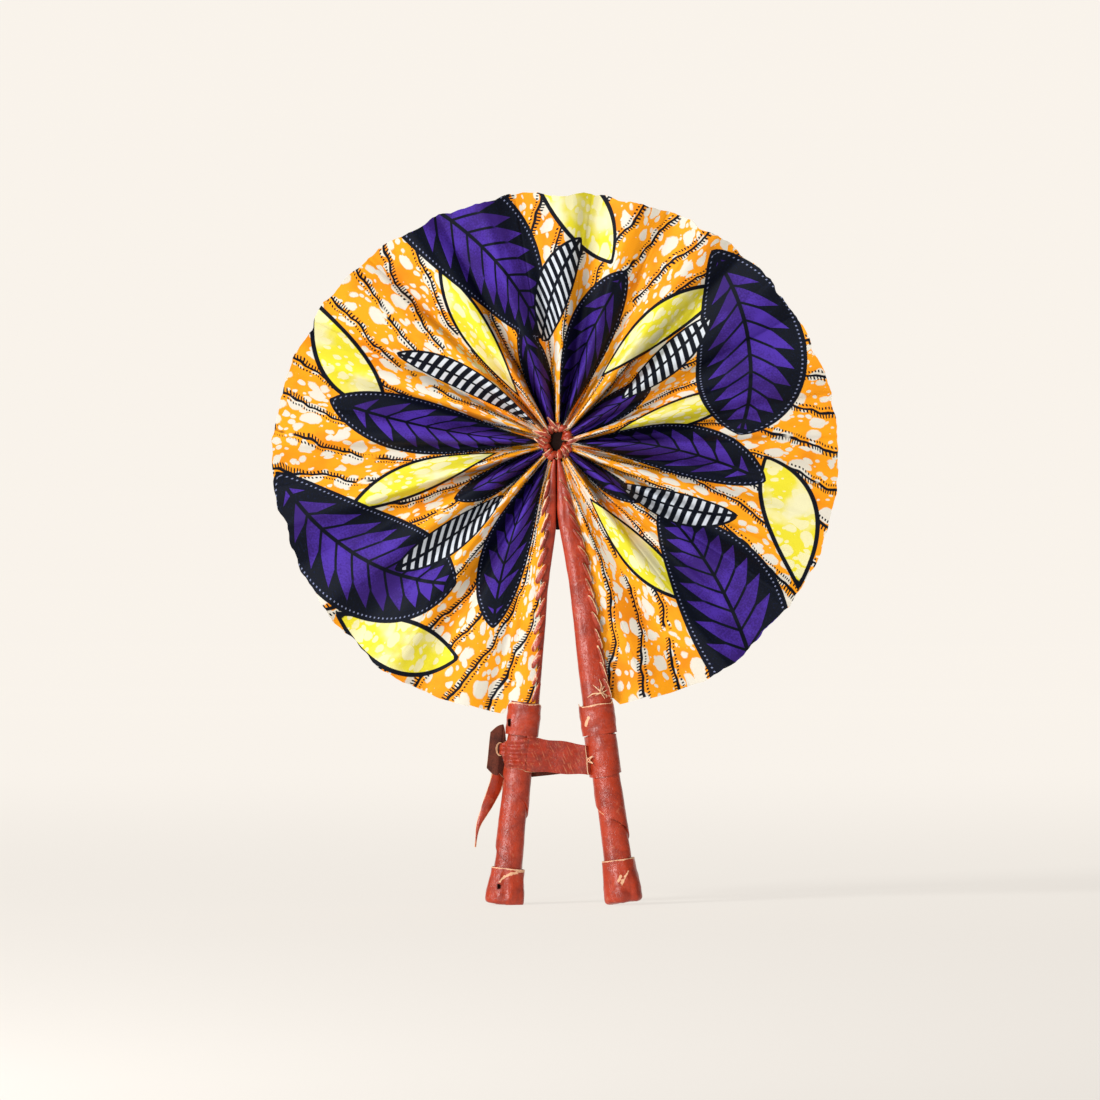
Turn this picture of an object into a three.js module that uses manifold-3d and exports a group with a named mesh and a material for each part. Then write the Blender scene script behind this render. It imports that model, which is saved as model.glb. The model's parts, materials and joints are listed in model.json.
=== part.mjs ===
// Folding cockade hand fan: a pleated cotton leaf gathered on a thong-bound hub, carried by two
// leather-bound sticks that swing round the hub and are tied to each other by a leather strap.
// Millimetres, +Z up, the front faces -Y. The origin lies between the two handles, in the hand.
import * as THREE from "three";
import { mergeVertices } from "three/addons/utils/BufferGeometryUtils.js";
import Module from "manifold-3d";

const wasm = await Module();
wasm.setup();

// Layout. Angles are in degrees, drops and stations are measured from the hub centre.
const HUB_HEIGHT = 190; // hub above the hand
const LEFT_LEAN = 6; // each stick off straight down
const RIGHT_LEAN = 7.9;
const LEFT_HEM = 14; // first and last crease of the leaf, off straight down
const RIGHT_HEM = 15.5;

// Leaf: flat facets between radial creases, which rise to the front and fall to the back in turn.
const LEAF_RADIUS = 151.5; // down at the leaf's sides
const LEAF_CROWN_DROP = 19; // how much shorter the leaf is at its top
const LEFT_RIM_DROP = 5; // and at each stick
const RIGHT_RIM_DROP = 8.7;
const RIM_DROP_SPREAD = 50; // angle over which the rim comes in to a stick
const LEAF_EYE = 9.7; // radius where the facets start
const FACETS = 37; // 36 whole facets and a half one at each end
const FACET_TILT = 15; // slope of a facet off the leaf's plane
const CLOTH = 0.5; // at the rim, thinning towards the hub
const CREASE_GAP = 0.15; // each facet's edge off its crease

// Hub: gathered ring bound by a thong, with a leather patch that closes its eye from behind.
const HUB_RING_RADIUS = 6.5;
const HUB_RING_THICKNESS = 2.5;
const HUB_TURNS = 14;
const HUB_THONG = 1.2;
const PATCH_RADIUS = 8.6; // round the eye
const PATCH_LENGTH = 46; // down behind the sticks
const PATCH_END_WIDTH = 6;

// Sticks: a wood core in a leather sheath above, a leather grip below, a collar where they meet.
const STICK_OFFSET = 2.1; // stick's middle line off the hub
const RIB_TIP = 10.5; // station where the sheath starts
const RIB_TIP_WIDTH = 6.6;
const RIB_TIP_DEPTH = 3;
const RIB_END = 141; // station where the sheath ends and the grip starts
const RIB_END_WIDTH = 15;
const RIB_END_DEPTH = 9;
const CORE_TIP = 27;
const GRIP_WIDTH = 14.6;
const GRIP_DEPTH = 11;
const WRAP_PITCH = 38; // the grip's strip of leather is wound once in this length
const WRAP_LIFT = 0.5; // its lower edge off the turn below
const WRAP_RAMP = 6; // stretch over which the edge lifts
const LEFT_SEAM = 177; // station where that edge crosses each handle's left side
const RIGHT_SEAM = 198;
const LEATHER = 1.1;
const FIT = 0.25; // clearance between layers
const COLLAR_TOP = 139.5;
const COLLAR_LENGTH = 16.5;
const CAP_TOP = 223;
const CAP_WIDTH = 17.6; // at its top
const CAP_END_WIDTH = 20.5;
const CAP_END_DEPTH = 15;
const CAP_FLOOR = 4;
const BUTT_END = 246;
const HEM_CLEARANCE = 0.9; // sheath's edge off the hem crease
const MID_CLEARANCE = 0.2; // sheath's edge off the middle between the sticks

// Lacing that sews the leaf's two edges to the sheaths.
const LACE_START = 27;
const LACE_STITCHES = 12;
const LACE_THONG = 1.5;
const LACE_REACH = 3.2; // width of the row of stitches
const LEFT_LACE_TOP = 3.4; // left row's middle off the hub's line, at its top and at its end
const LEFT_LACE_END = -3.3;

// Strap: a band over the front of the left handle, a keeper round its back with a slit, and a tail.
const STRAP_DROP = 167; // strap's middle below the hub
const STRAP_WIDTH = 17.5;
const STRAP_LEATHER = 1.5;
const ANCHOR_GAP = 0.5; // anchor below the collar
const ANCHOR_LENGTH = 21.5;
const BAND_END_WIDTH = 6;
const KEEPER_WIDTH = 16;
const KEEPER_SAG = 2.5; // keeper's run below the band's
const TAB_REACH = 9.5; // tab past the left handle
const TAB_WIDTH = 27;
const TAB_END_WIDTH = 19;
const TAB_RISE = 1; // tab's middle above the band's
const SLIT_LENGTH = 7.5;
const SLIT_FROM_HANDLE = 3.6;
const TAIL_LENGTH = 50;
const TAIL_WIDTH = 9;
const TAIL_TIP = 1.2;
const TAIL_LEAN = 14;

// Finish of the mesh.
const STICK_SIDES = 18;
const STICK_SQUARENESS = 2.5; // 2 is an ellipse

const V = (x, y, z) => new THREE.Vector3(x, y, z);
const rad = THREE.MathUtils.degToRad;
const lerp = THREE.MathUtils.lerp;
const range = (n) => Array.from({ length: n }, (_, i) => i);

// A closed mesh from points and triangles, turned so that its faces point out.
function closed(points, faces) {
  let volume = 0;
  for (let i = 0; i < faces.length; i += 3) {
    const [a, b, c] = [0, 1, 2].map((k) => points[faces[i + k]]);
    volume += a.dot(b.clone().cross(c));
  }
  if (volume < 0)
    for (let i = 0; i < faces.length; i += 3)
      [faces[i + 1], faces[i + 2]] = [faces[i + 2], faces[i + 1]];
  const geometry = new THREE.BufferGeometry().setFromPoints(points);
  geometry.setIndex(faces);
  return geometry;
}

// A skin over rings of points, capped at both ends or joined end to end.
function loft(rings, endless = false) {
  const n = rings[0].length;
  const points = rings.flat();
  const faces = [];
  for (let i = 0; i < rings.length - (endless ? 0 : 1); i++)
    for (let j = 0; j < n; j++) {
      const [a, b] = [i * n + j, i * n + ((j + 1) % n)];
      const [c, d] = [a, b].map((k) => (k + n) % points.length);
      faces.push(a, b, d, a, d, c);
    }
  const last = points.length - n;
  for (let j = 1; !endless && j + 1 < n; j++)
    faces.push(0, j + 1, j, last, last + j, last + j + 1);
  return closed(points, faces);
}

// A thin solid between two faces given as grids of points.
function slab(front, back) {
  return loft(front.map((row, i) => [...row, ...back[i].toReversed()]));
}

// A round thong along a path; each point comes with the direction of its first side.
function thong(path, sides, thickness, endless = false) {
  const rings = path.map(({ at, out }, i) => {
    const next = path[endless ? (i + 1) % path.length : Math.min(i + 1, path.length - 1)].at;
    const before = path.at(endless ? i - 1 : Math.max(i - 1, 0)).at;
    const along = next.clone().sub(before).normalize();
    const up = out.clone().addScaledVector(along, -out.dot(along)).normalize();
    const across = along.clone().cross(up);
    return range(sides).map((k) => {
      const a = (2 * Math.PI * k) / sides;
      return at
        .clone()
        .addScaledVector(up, (Math.cos(a) * thickness) / 2)
        .addScaledVector(across, (Math.sin(a) * thickness) / 2);
    });
  });
  return loft(rings, endless);
}

// Least clear space between stretches of a thong that are more than one stitch or half turn apart.
function leastGap(path, thickness, apart, endless = false) {
  let least = Infinity;
  path.forEach((p, i) =>
    path.forEach((q, j) => {
      const steps = endless ? Math.min(j - i, path.length - (j - i)) : j - i;
      if (steps > apart) least = Math.min(least, p.at.distanceTo(q.at) - thickness);
    }),
  );
  return least;
}

function manifold(geometry) {
  const g = mergeVertices(geometry.clone().deleteAttribute("normal").deleteAttribute("uv"), 1e-4);
  return new wasm.Manifold(
    new wasm.Mesh({
      numProp: 3,
      vertProperties: new Float32Array(g.attributes.position.array),
      triVerts: new Uint32Array(g.index.array),
    }),
  );
}

function geometryOf(solid) {
  const mesh = solid.getMesh();
  const result = new THREE.BufferGeometry();
  result.setAttribute("position", new THREE.Float32BufferAttribute(mesh.vertProperties, 3));
  result.setIndex(Array.from(mesh.triVerts));
  return result;
}

// The first solid with the others cut out of it.
const cut = (geometry, ...tools) =>
  geometryOf(tools.reduce((s, t) => s.subtract(manifold(t)), manifold(geometry)));

const join = (a, b) => geometryOf(manifold(a).add(manifold(b)));

// Finishes
const finish = (color, roughness) => new THREE.MeshStandardMaterial({ color, roughness });
const leather = finish(0xa8472e, 0.55);
const leatherDark = finish(0x5a2a1e, 0.85);
const thongLeather = finish(0xb85c3c, 0.6);
const wood = finish(0x9a6b3f, 0.7);
const cotton = finish(0xf7a21c, 0.9);
const cottonEdge = finish(0x4a2a8c, 0.9);

function add(group, name, geometry, material) {
  geometry.computeVertexNormals();
  const mesh = new THREE.Mesh(geometry, material);
  mesh.name = name;
  group.add(mesh);
}

const fan = new THREE.Group();
const hub = new THREE.Group();
hub.position.z = HUB_HEIGHT;
fan.add(hub);

// Sticks. Across a stick, u grows outwards, away from the other stick, and s runs down from the hub.
const left = {
  name: "left",
  side: -1,
  lean: rad(LEFT_LEAN),
  hem: rad(LEFT_HEM),
  rimDrop: LEFT_RIM_DROP,
};
const right = {
  name: "right",
  side: 1,
  lean: rad(RIGHT_LEAN),
  hem: rad(RIGHT_HEM),
  rimDrop: RIGHT_RIM_DROP,
};
Object.assign(left, { seam: LEFT_SEAM, seamAngle: 0, wind: 1 });
Object.assign(right, { seam: RIGHT_SEAM, seamAngle: 180, wind: -1 });
const hemEdge = (stick, s) => s * Math.tan(stick.hem - stick.lean);

function ribShare(s) {
  return Math.max(0, (s - RIB_TIP) / (RIB_END - RIB_TIP));
}

// Section of the sheathed rib at a station, kept clear of the hem crease and of the other stick.
function ribSection(stick, s) {
  const half = lerp(RIB_TIP_WIDTH, RIB_END_WIDTH, ribShare(s) ** 0.75) / 2;
  const outer = Math.min(STICK_OFFSET + half, hemEdge(stick, s) - HEM_CLEARANCE);
  const inner = Math.max(STICK_OFFSET - half, MID_CLEARANCE - s * Math.tan(stick.lean));
  const depth = lerp(RIB_TIP_DEPTH, RIB_END_DEPTH, ribShare(s)) / 2;
  return { s, middle: (outer + inner) / 2, half: (outer - inner) / 2, depth };
}

const gripSection = (s) => ({
  s,
  middle: STICK_OFFSET,
  half: GRIP_WIDTH / 2,
  depth: GRIP_DEPTH / 2,
});

const grown = (section, by) => ({
  ...section,
  half: section.half + by,
  depth: section.depth + by,
});

// A point on a section: 0 degrees is its outer edge, 90 its front.
function onSection({ middle, half, depth }, degrees) {
  const round = (v) => Math.sign(v) * Math.abs(v) ** (2 / STICK_SQUARENESS);
  const a = rad(degrees);
  return { u: middle + half * round(Math.cos(a)), y: -depth * round(Math.sin(a)) };
}

// Front face of a section at a place across it.
function frontAt({ middle, half, depth }, u) {
  const x = Math.min(Math.abs(u - middle) / half, 1);
  return -depth * (1 - x ** STICK_SQUARENESS) ** (1 / STICK_SQUARENESS);
}

const stickRing = (stick, section) =>
  range(STICK_SIDES).map((k) => {
    const { u, y } = onSection(section, (360 * k) / STICK_SIDES);
    return V(stick.side * u, y, -section.s);
  });

const stickLoft = (stick, sections) => loft(sections.map((s) => stickRing(stick, s)));

// Stations from one end to the other, closer together near the hub.
const stations = (from, to, n) => range(n + 1).map((i) => lerp(from, to, (i / n) ** 1.5));

// The wood core, or the room for it when it is grown by the fit.
function coreSections(stick, by) {
  const wall = LEATHER + FIT - by;
  const rib = stations(CORE_TIP - by, RIB_END, 7).map((s) => grown(ribSection(stick, s), -wall));
  const grip = [RIB_END + GRIP_DEPTH, BUTT_END - CAP_FLOOR - FIT + by];
  return [...rib, ...grip.map((s) => grown(gripSection(s), -wall))];
}

// Lower edge of the strip that is wound round a handle: it rises from the turn below, runs down to the
// right across the front, and ends under the cap.
function wrapSeam(stick) {
  const from = STRAP_DROP / Math.cos(stick.lean) + ANCHOR_LENGTH / 2 + WRAP_RAMP;
  const to = CAP_TOP - 2 * FIT;
  const steps = 26;
  const rings = range(steps + 1).map((i) => {
    const s = lerp(from, to, i / steps);
    const angle = stick.seamAngle + (stick.wind * 360 * (s - stick.seam)) / WRAP_PITCH;
    const lift = WRAP_LIFT * Math.min(1, (4 * i) / steps);
    const corner = (back, by) => {
      const { u, y } = onSection(grown(gripSection(s), by), angle);
      return V(stick.side * u, y, back - s);
    };
    return [corner(WRAP_RAMP, 0), corner(0, lift), corner(0, -LEATHER / 2)];
  });
  return loft(rings);
}

function buildStick(stick) {
  const group = new THREE.Group();
  group.rotation.y = -stick.side * stick.lean;
  hub.add(group);
  const put = (name, geometry, material) => add(group, `${stick.name}_${name}`, geometry, material);
  const core = stickLoft(stick, coreSections(stick, 0));
  const room = stickLoft(stick, coreSections(stick, FIT));
  put("stick", core, wood);

  const rib = stations(RIB_TIP, RIB_END, 9).map((s) => ribSection(stick, s));
  put("rib_sheath", cut(stickLoft(stick, rib), room), leather);

  const coreEnd = BUTT_END - CAP_FLOOR - FIT;
  const gripEnds = [RIB_END + FIT, coreEnd].map(gripSection);
  const grip = join(stickLoft(stick, gripEnds), wrapSeam(stick));
  put("grip_wrap", cut(grip, room), leather);

  const ribEnd = ribSection(stick, RIB_END);
  const widest = gripSection(RIB_END);
  widest.half = Math.max(widest.half, ribEnd.half + Math.abs(ribEnd.middle - STICK_OFFSET)) + FIT;
  widest.depth = Math.max(widest.depth, ribEnd.depth) + FIT;
  const collarEnd = COLLAR_TOP + COLLAR_LENGTH;
  const boreOf = (from, to) => [from - LEATHER, to + LEATHER].map((s) => ({ ...widest, s }));
  const round = LEATHER / 2;
  const collar = [
    { ...grown(widest, LEATHER - round), s: COLLAR_TOP },
    { ...grown(widest, LEATHER), s: COLLAR_TOP + round },
    { ...grown(widest, LEATHER), s: collarEnd - 2 * LEATHER },
    { ...grown(widest, LEATHER - round), s: collarEnd },
  ];
  const bore = stickLoft(stick, boreOf(COLLAR_TOP, collarEnd));
  put("collar", cut(stickLoft(stick, collar), bore), leather);

  const cap = (s, width, depth) => ({ s, middle: STICK_OFFSET, half: width / 2, depth: depth / 2 });
  const capDepth = GRIP_DEPTH + CAP_WIDTH - GRIP_WIDTH;
  const capBend = lerp(CAP_TOP, BUTT_END, 0.35);
  const capSections = [
    cap(CAP_TOP, CAP_WIDTH, capDepth),
    cap(capBend, lerp(CAP_WIDTH, CAP_END_WIDTH, 0.2), lerp(capDepth, CAP_END_DEPTH, 0.2)),
    cap(BUTT_END - LEATHER, CAP_END_WIDTH, CAP_END_DEPTH),
    cap(BUTT_END, CAP_END_WIDTH - 2 * LEATHER, CAP_END_DEPTH - 2 * LEATHER),
  ];
  const pocket = [CAP_TOP - LEATHER, coreEnd + FIT].map((s) => grown(gripSection(s), FIT));
  put("butt_cap", cut(stickLoft(stick, capSections), stickLoft(stick, pocket)), leather);
  return { group, put };
}

const leftStick = buildStick(left);
const rightStick = buildStick(right);

// Left row of stitches: near the outer edge of the sheath at the hub, near its inner edge at the end.
const hemPoint = (stick, s, y) => V(stick.side * (hemEdge(stick, s) - CREASE_GAP), y, -s);
const edgeEnd = COLLAR_TOP - FIT;
function leftRowAt({ middle, half }, s) {
  const wanted = lerp(LEFT_LACE_TOP, LEFT_LACE_END, (s - LACE_START) / (edgeEnd - LACE_START));
  return Math.min(wanted, middle + half - LACE_REACH / 2);
}

// The leaf's left edge lies over the front of the left sheath, from the stitches to the hem crease.
function leftSelvedge() {
  const face = (by, hemDepth) =>
    stations(LACE_START, edgeEnd, 9).map((s) => {
      const section = grown(ribSection(left, s), by);
      const across = (leftRowAt(section, s) - section.middle) / section.half;
      const first = Math.acos(Math.sign(across) * Math.abs(across) ** (STICK_SQUARENESS / 2));
      const angles = range(5).map((i) => lerp(THREE.MathUtils.radToDeg(first), 12, i / 4));
      const points = angles.map((a) => onSection(section, a)).map(({ u, y }) => V(-u, y, -s));
      return [...points, hemPoint(left, s, hemDepth)];
    });
  return slab(face(FIT + CLOTH, 0), face(FIT, CLOTH));
}
leftStick.put("selvedge", leftSelvedge(), cottonEdge);

// The right edge is tucked against the outer edge of the right sheath, where there is room for it.
function rightSelvedge() {
  const edge = (s) => {
    const { middle, half } = ribSection(right, s);
    return middle + half + FIT;
  };
  const room = (s) => hemEdge(right, s) - CREASE_GAP - edge(s);
  const start = range(Math.round(edgeEnd)).find((s) => s > LACE_START && room(s) > 3 * CLOTH);
  const face = (y) =>
    stations(start, edgeEnd, 6).map((s) => [V(edge(s), y, -s), hemPoint(right, s, y)]);
  return slab(face(0), face(CLOTH));
}
rightStick.put("selvedge", rightSelvedge(), cotton);

// A row of stitches: one thong that weaves from the sheath to the leaf's edge and back.
function lacing(stick, rowAt, lift) {
  const steps = 8 * LACE_STITCHES;
  const end = edgeEnd - LACE_THONG;
  return range(steps + 1).map((i) => {
    const s = lerp(LACE_START + LACE_THONG, end, i / steps);
    const section = ribSection(stick, s);
    const u = rowAt(section, s) + (LACE_REACH / 2) * Math.cos((2 * Math.PI * i) / 8);
    const y = frontAt(section, Math.min(u, section.middle + 0.85 * section.half));
    return { at: V(stick.side * u, y - lift - LACE_THONG / 2, -s), out: V(0, -1, 0) };
  });
}
const leftRow = lacing(left, leftRowAt, 2 * FIT + CLOTH);
const rightRow = lacing(
  right,
  ({ middle, half }, s) =>
    Math.min(middle + half, hemEdge(right, s) - HEM_CLEARANCE - LACE_THONG / 2) - LACE_REACH / 2,
  FIT,
);
leftStick.put("lacing", thong(leftRow, 5, LACE_THONG), thongLeather);
rightStick.put("lacing", thong(rightRow, 5, LACE_THONG), thongLeather);
for (const [name, row] of [["left", leftRow], ["right", rightRow]])
  console.log(`${name} lacing clears itself by ${leastGap(row, LACE_THONG, 4).toFixed(2)} mm`);

// Hub: a gathered ring and the thong wound round it, one endless run of turns.
const ring = new THREE.TorusGeometry(HUB_RING_RADIUS, HUB_RING_THICKNESS / 2, 10, 36);
add(hub, "hub_ring", mergeVertices(ring.deleteAttribute("normal").deleteAttribute("uv")), cotton);
hub.children.at(-1).rotation.x = Math.PI / 2;
const hubSteps = 12;
const hubWinding = range(HUB_TURNS * hubSteps).map((i) => {
  const round = (2 * Math.PI * i) / (HUB_TURNS * hubSteps);
  const turn = (2 * Math.PI * i) / hubSteps;
  const outwards = V(Math.cos(round), 0, Math.sin(round));
  const out = outwards.clone().multiplyScalar(Math.cos(turn)).add(V(0, -Math.sin(turn), 0));
  const reach = (HUB_RING_THICKNESS + HUB_THONG) / 2 + FIT;
  return { at: outwards.multiplyScalar(HUB_RING_RADIUS).addScaledVector(out, reach), out };
});
add(hub, "hub_lacing", thong(hubWinding, 5, HUB_THONG, true), thongLeather);
const hubGap = leastGap(hubWinding, HUB_THONG, hubSteps / 2, true);
console.log(`hub lacing clears itself by ${hubGap.toFixed(2)} mm`);

// Patch: round behind the eye, with a tongue down behind both sticks.
function hubPatch() {
  const front = Math.max(
    HUB_RING_THICKNESS / 2 + HUB_THONG + 2 * FIT,
    ribSection(left, PATCH_LENGTH).depth + FIT,
  );
  const endX = (PATCH_LENGTH * (Math.tan(right.lean) - Math.tan(left.lean))) / 2;
  const endRadius = PATCH_END_WIDTH / 2;
  const arc = (x, z, radius, from, to, n) =>
    range(n + 1).map((i) => {
      const a = rad(lerp(from, to, i / n));
      return [x + radius * Math.cos(a), z + radius * Math.sin(a)];
    });
  const outline = [
    ...arc(0, 0, PATCH_RADIUS, -7, 187, 20),
    ...arc(endX, endRadius - PATCH_LENGTH, endRadius, 187, 353, 8),
  ];
  return loft([front, front + LEATHER].map((y) => outline.map(([x, z]) => V(x, y, z))));
}
add(hub, "hub_patch", hubPatch(), leatherDark);

// Leaf. Around the hub, 0 is straight down and angles grow to the left, over the top, to the right.
const span = 2 * Math.PI - left.hem - right.hem;
const step = span / FACETS;
const tilt = rad(FACET_TILT);
const facetHalf = Math.atan(Math.tan(step / 2) / Math.cos(tilt)); // half a facet's own angle
const rise = Math.asin(Math.sin(facetHalf) * Math.sin(tilt)); // crease off the leaf's plane
function rimRadius(around) {
  const comeIn = ({ rimDrop }, off) => rimDrop * Math.max(0, 1 - off / rad(RIM_DROP_SPREAD)) ** 2;
  const crown = LEAF_CROWN_DROP * ((1 - Math.cos(around)) / 2) ** 3;
  const fromLeft = around - left.hem;
  return LEAF_RADIUS - crown - comeIn(left, fromLeft) - comeIn(right, span - fromLeft);
}

// Crease 0 is the left hem and the last one the right hem; between them odd ones are ridges.
function crease(j) {
  const hem = j === 0 || j === FACETS + 1;
  const around = left.hem + THREE.MathUtils.clamp(j - 0.5, 0, FACETS) * step;
  const lift = hem ? 0 : j % 2 ? rise : -rise;
  const flat = V(-Math.sin(around), 0, -Math.cos(around)).multiplyScalar(Math.cos(lift));
  return { line: flat.add(V(0, -Math.sin(lift), 0)), rim: rimRadius(around), ridge: lift > 0 };
}

// One facet: its cloth lies in front of its ridge crease and behind its valley crease or hem, so that
// the leaf can fold flat, and it is as thick as the cloth at the rim.
function facet(k) {
  const [a, b] = [crease(k), crease(k + 1)];
  const front = b.line.clone().cross(a.line).normalize();
  if (front.y > 0) front.negate();
  const thickness = (r) => (CLOTH * r) / LEAF_RADIUS;
  const corners = (edge, other) => {
    const inwards = other.line.clone().addScaledVector(edge.line, -other.line.dot(edge.line));
    inwards.normalize();
    const at = (r, off) =>
      edge.line
        .clone()
        .multiplyScalar(r)
        .addScaledVector(inwards, CREASE_GAP)
        .addScaledVector(front, off);
    return [LEAF_EYE, edge.rim].map((r) =>
      edge.ridge ? [at(r, thickness(r)), at(r, 0)] : [at(r, 0), at(r, -thickness(r))],
    );
  };
  const [ea, eb] = [corners(a, b), corners(b, a)];
  return loft(range(2).map((i) => [ea[i][0], eb[i][0], eb[i][1], ea[i][1]]));
}
for (const k of range(FACETS + 1))
  add(hub, `leaf_${String(k).padStart(2, "0")}`, facet(k), k % 2 ? cotton : cottonEdge);

// Strap. Its runs are strips that stand on edge, seen from above as paths between the handles.
function handleAt(stick, by, degrees) {
  const s = STRAP_DROP / Math.cos(stick.lean);
  const { u, y } = onSection(grown(gripSection(s), by), degrees);
  return { x: stick.side * (u + STRAP_DROP * Math.tan(stick.lean)), y };
}

// A strip along a path of { x, y, half, drop }, leaning with the handles that it joins.
function strip(path, thickness = STRAP_LEATHER) {
  const [lx, rx] = [left, right].map((stick) => handleAt(stick, 0, 180).x);
  return loft(
    path.map((p, i) => {
      const [q, o] = [path[Math.min(i + 1, path.length - 1)], path[Math.max(i - 1, 0)]];
      const along = new THREE.Vector2(q.x - o.x, q.y - o.y).normalize();
      const share = THREE.MathUtils.clamp((p.x - lx) / (rx - lx), 0, 1);
      const lean = lerp(Math.tan(left.lean), -Math.tan(right.lean), share);
      const corner = (up, out) => {
        const high = up * p.half - (p.drop ?? 0);
        const side = (out * thickness) / 2;
        return V(p.x - along.y * side + lean * high, p.y + along.x * side, high - STRAP_DROP);
      };
      return [corner(1, 1), corner(1, -1), corner(-1, -1), corner(-1, 1)];
    }),
  );
}

const wrap = FIT + STRAP_LEATHER / 2;
const anchorSection = grown(gripSection(0), FIT + STRAP_LEATHER);
const anchorTop = COLLAR_TOP + COLLAR_LENGTH + ANCHOR_GAP;
const anchorEnds = [anchorTop, anchorTop + ANCHOR_LENGTH];
const anchorBore = anchorEnds.map((s, i) => grown(gripSection(s + (2 * i - 1) * LEATHER), FIT));
const anchor = cut(
  stickLoft(right, anchorEnds.map((s) => ({ ...anchorSection, s }))),
  stickLoft(right, anchorBore),
);
add(rightStick.group, "strap_anchor", anchor, leather);

// The band leaves the anchor, crosses the front of the left handle and narrows to its slit.
const onAnchor = FIT + STRAP_LEATHER + wrap;
const slitX = handleAt(left, 0, 0).x - SLIT_FROM_HANDLE;
const slitY = GRIP_DEPTH / 8;
const bandHalf = STRAP_WIDTH / 2;
const bandPath = [
  ...[205, 190].map((a) => ({ ...handleAt(right, onAnchor, -a), half: bandHalf })),
  ...[120, 105, 90, 70, 50].map((a) => ({ ...handleAt(left, wrap, a), half: bandHalf })),
  { ...handleAt(left, wrap, 32), half: 0.8 * bandHalf },
  { ...handleAt(left, wrap, 16), half: lerp(BAND_END_WIDTH / 2, bandHalf, 0.3) },
  { x: slitX + SLIT_FROM_HANDLE / 3, y: -slitY, half: BAND_END_WIDTH / 2 },
  { x: slitX, y: slitY, half: BAND_END_WIDTH / 2 },
  { x: slitX - STRAP_LEATHER / 2, y: slitY + 2 * STRAP_LEATHER, half: BAND_END_WIDTH / 2 },
];
add(hub, "strap_band", strip(bandPath), leather);

// The keeper passes behind the left handle and stands out past it as a tab with a slit.
const keeperHalf = KEEPER_WIDTH / 2;
const tabX = handleAt(left, 0, 0).x;
const collarStep = LEATHER + 2 * FIT + wrap; // the tab stands clear of the collar's edge
const keeperRun = [
  ...[160, 175].map((a) => ({ ...handleAt(right, onAnchor, -a), half: keeperHalf })),
  ...[-120, -90, -60, -35].map((a) => ({ ...handleAt(left, wrap, a), half: keeperHalf })),
].map((p) => ({ ...p, drop: KEEPER_SAG }));
const tabPath = [
  { x: tabX - collarStep, y: slitY + wrap, half: TAB_WIDTH / 2, drop: -TAB_RISE },
  { x: slitX, y: slitY, half: TAB_WIDTH / 2, drop: -TAB_RISE },
  { x: tabX - TAB_REACH, y: slitY - wrap, half: TAB_END_WIDTH / 2, drop: -TAB_RISE },
];
const slitPath = bandPath.slice(-3).map((p) => ({ ...p, half: SLIT_LENGTH / 2 }));
const slit = strip(slitPath, STRAP_LEATHER + 2 * FIT);
add(hub, "strap_keeper", cut(strip([...keeperRun, ...tabPath]), slit), leatherDark);

// The tail hangs behind the tab from the slit and tapers to its tip.
const tailPath = range(6).map((i) => {
  const down = (TAIL_LENGTH * i) / 5;
  const width = lerp(TAIL_WIDTH, TAIL_TIP, (i / 5) ** 0.7);
  const x = slitX - down * Math.tan(rad(TAIL_LEAN));
  const y = slitY + 3 * STRAP_LEATHER + FIT + STRAP_LEATHER / 2;
  const at = (dx, dy) => V(x + dx, y + dy, BAND_END_WIDTH / 2 - STRAP_DROP - down);
  const [w, t] = [width / 2, STRAP_LEATHER / 2];
  return [at(-w, -t), at(w, -t), at(w, t), at(-w, t)];
});
add(hub, "strap_tail", loft(tailPath), leather);

export default fan;
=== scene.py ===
"""Folding hand fan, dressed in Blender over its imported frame.

A round leaf of wax-printed cotton is gathered on a thong-bound hub and carried by two leather-bound
sticks, which a strap ties to each other. Sizes are millimetres and angles degrees unless a name says
otherwise; the meshes themselves are in metres, in the frame's own axes (front -Y, up +Z).
"""

from __future__ import annotations

import json
import logging
import math
from contextlib import contextmanager
from dataclasses import dataclass, field
from enum import Enum, IntEnum
from typing import Any, Iterator, Sequence

import bpy
import numpy as np
from mathutils import Matrix, Vector, noise

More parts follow.
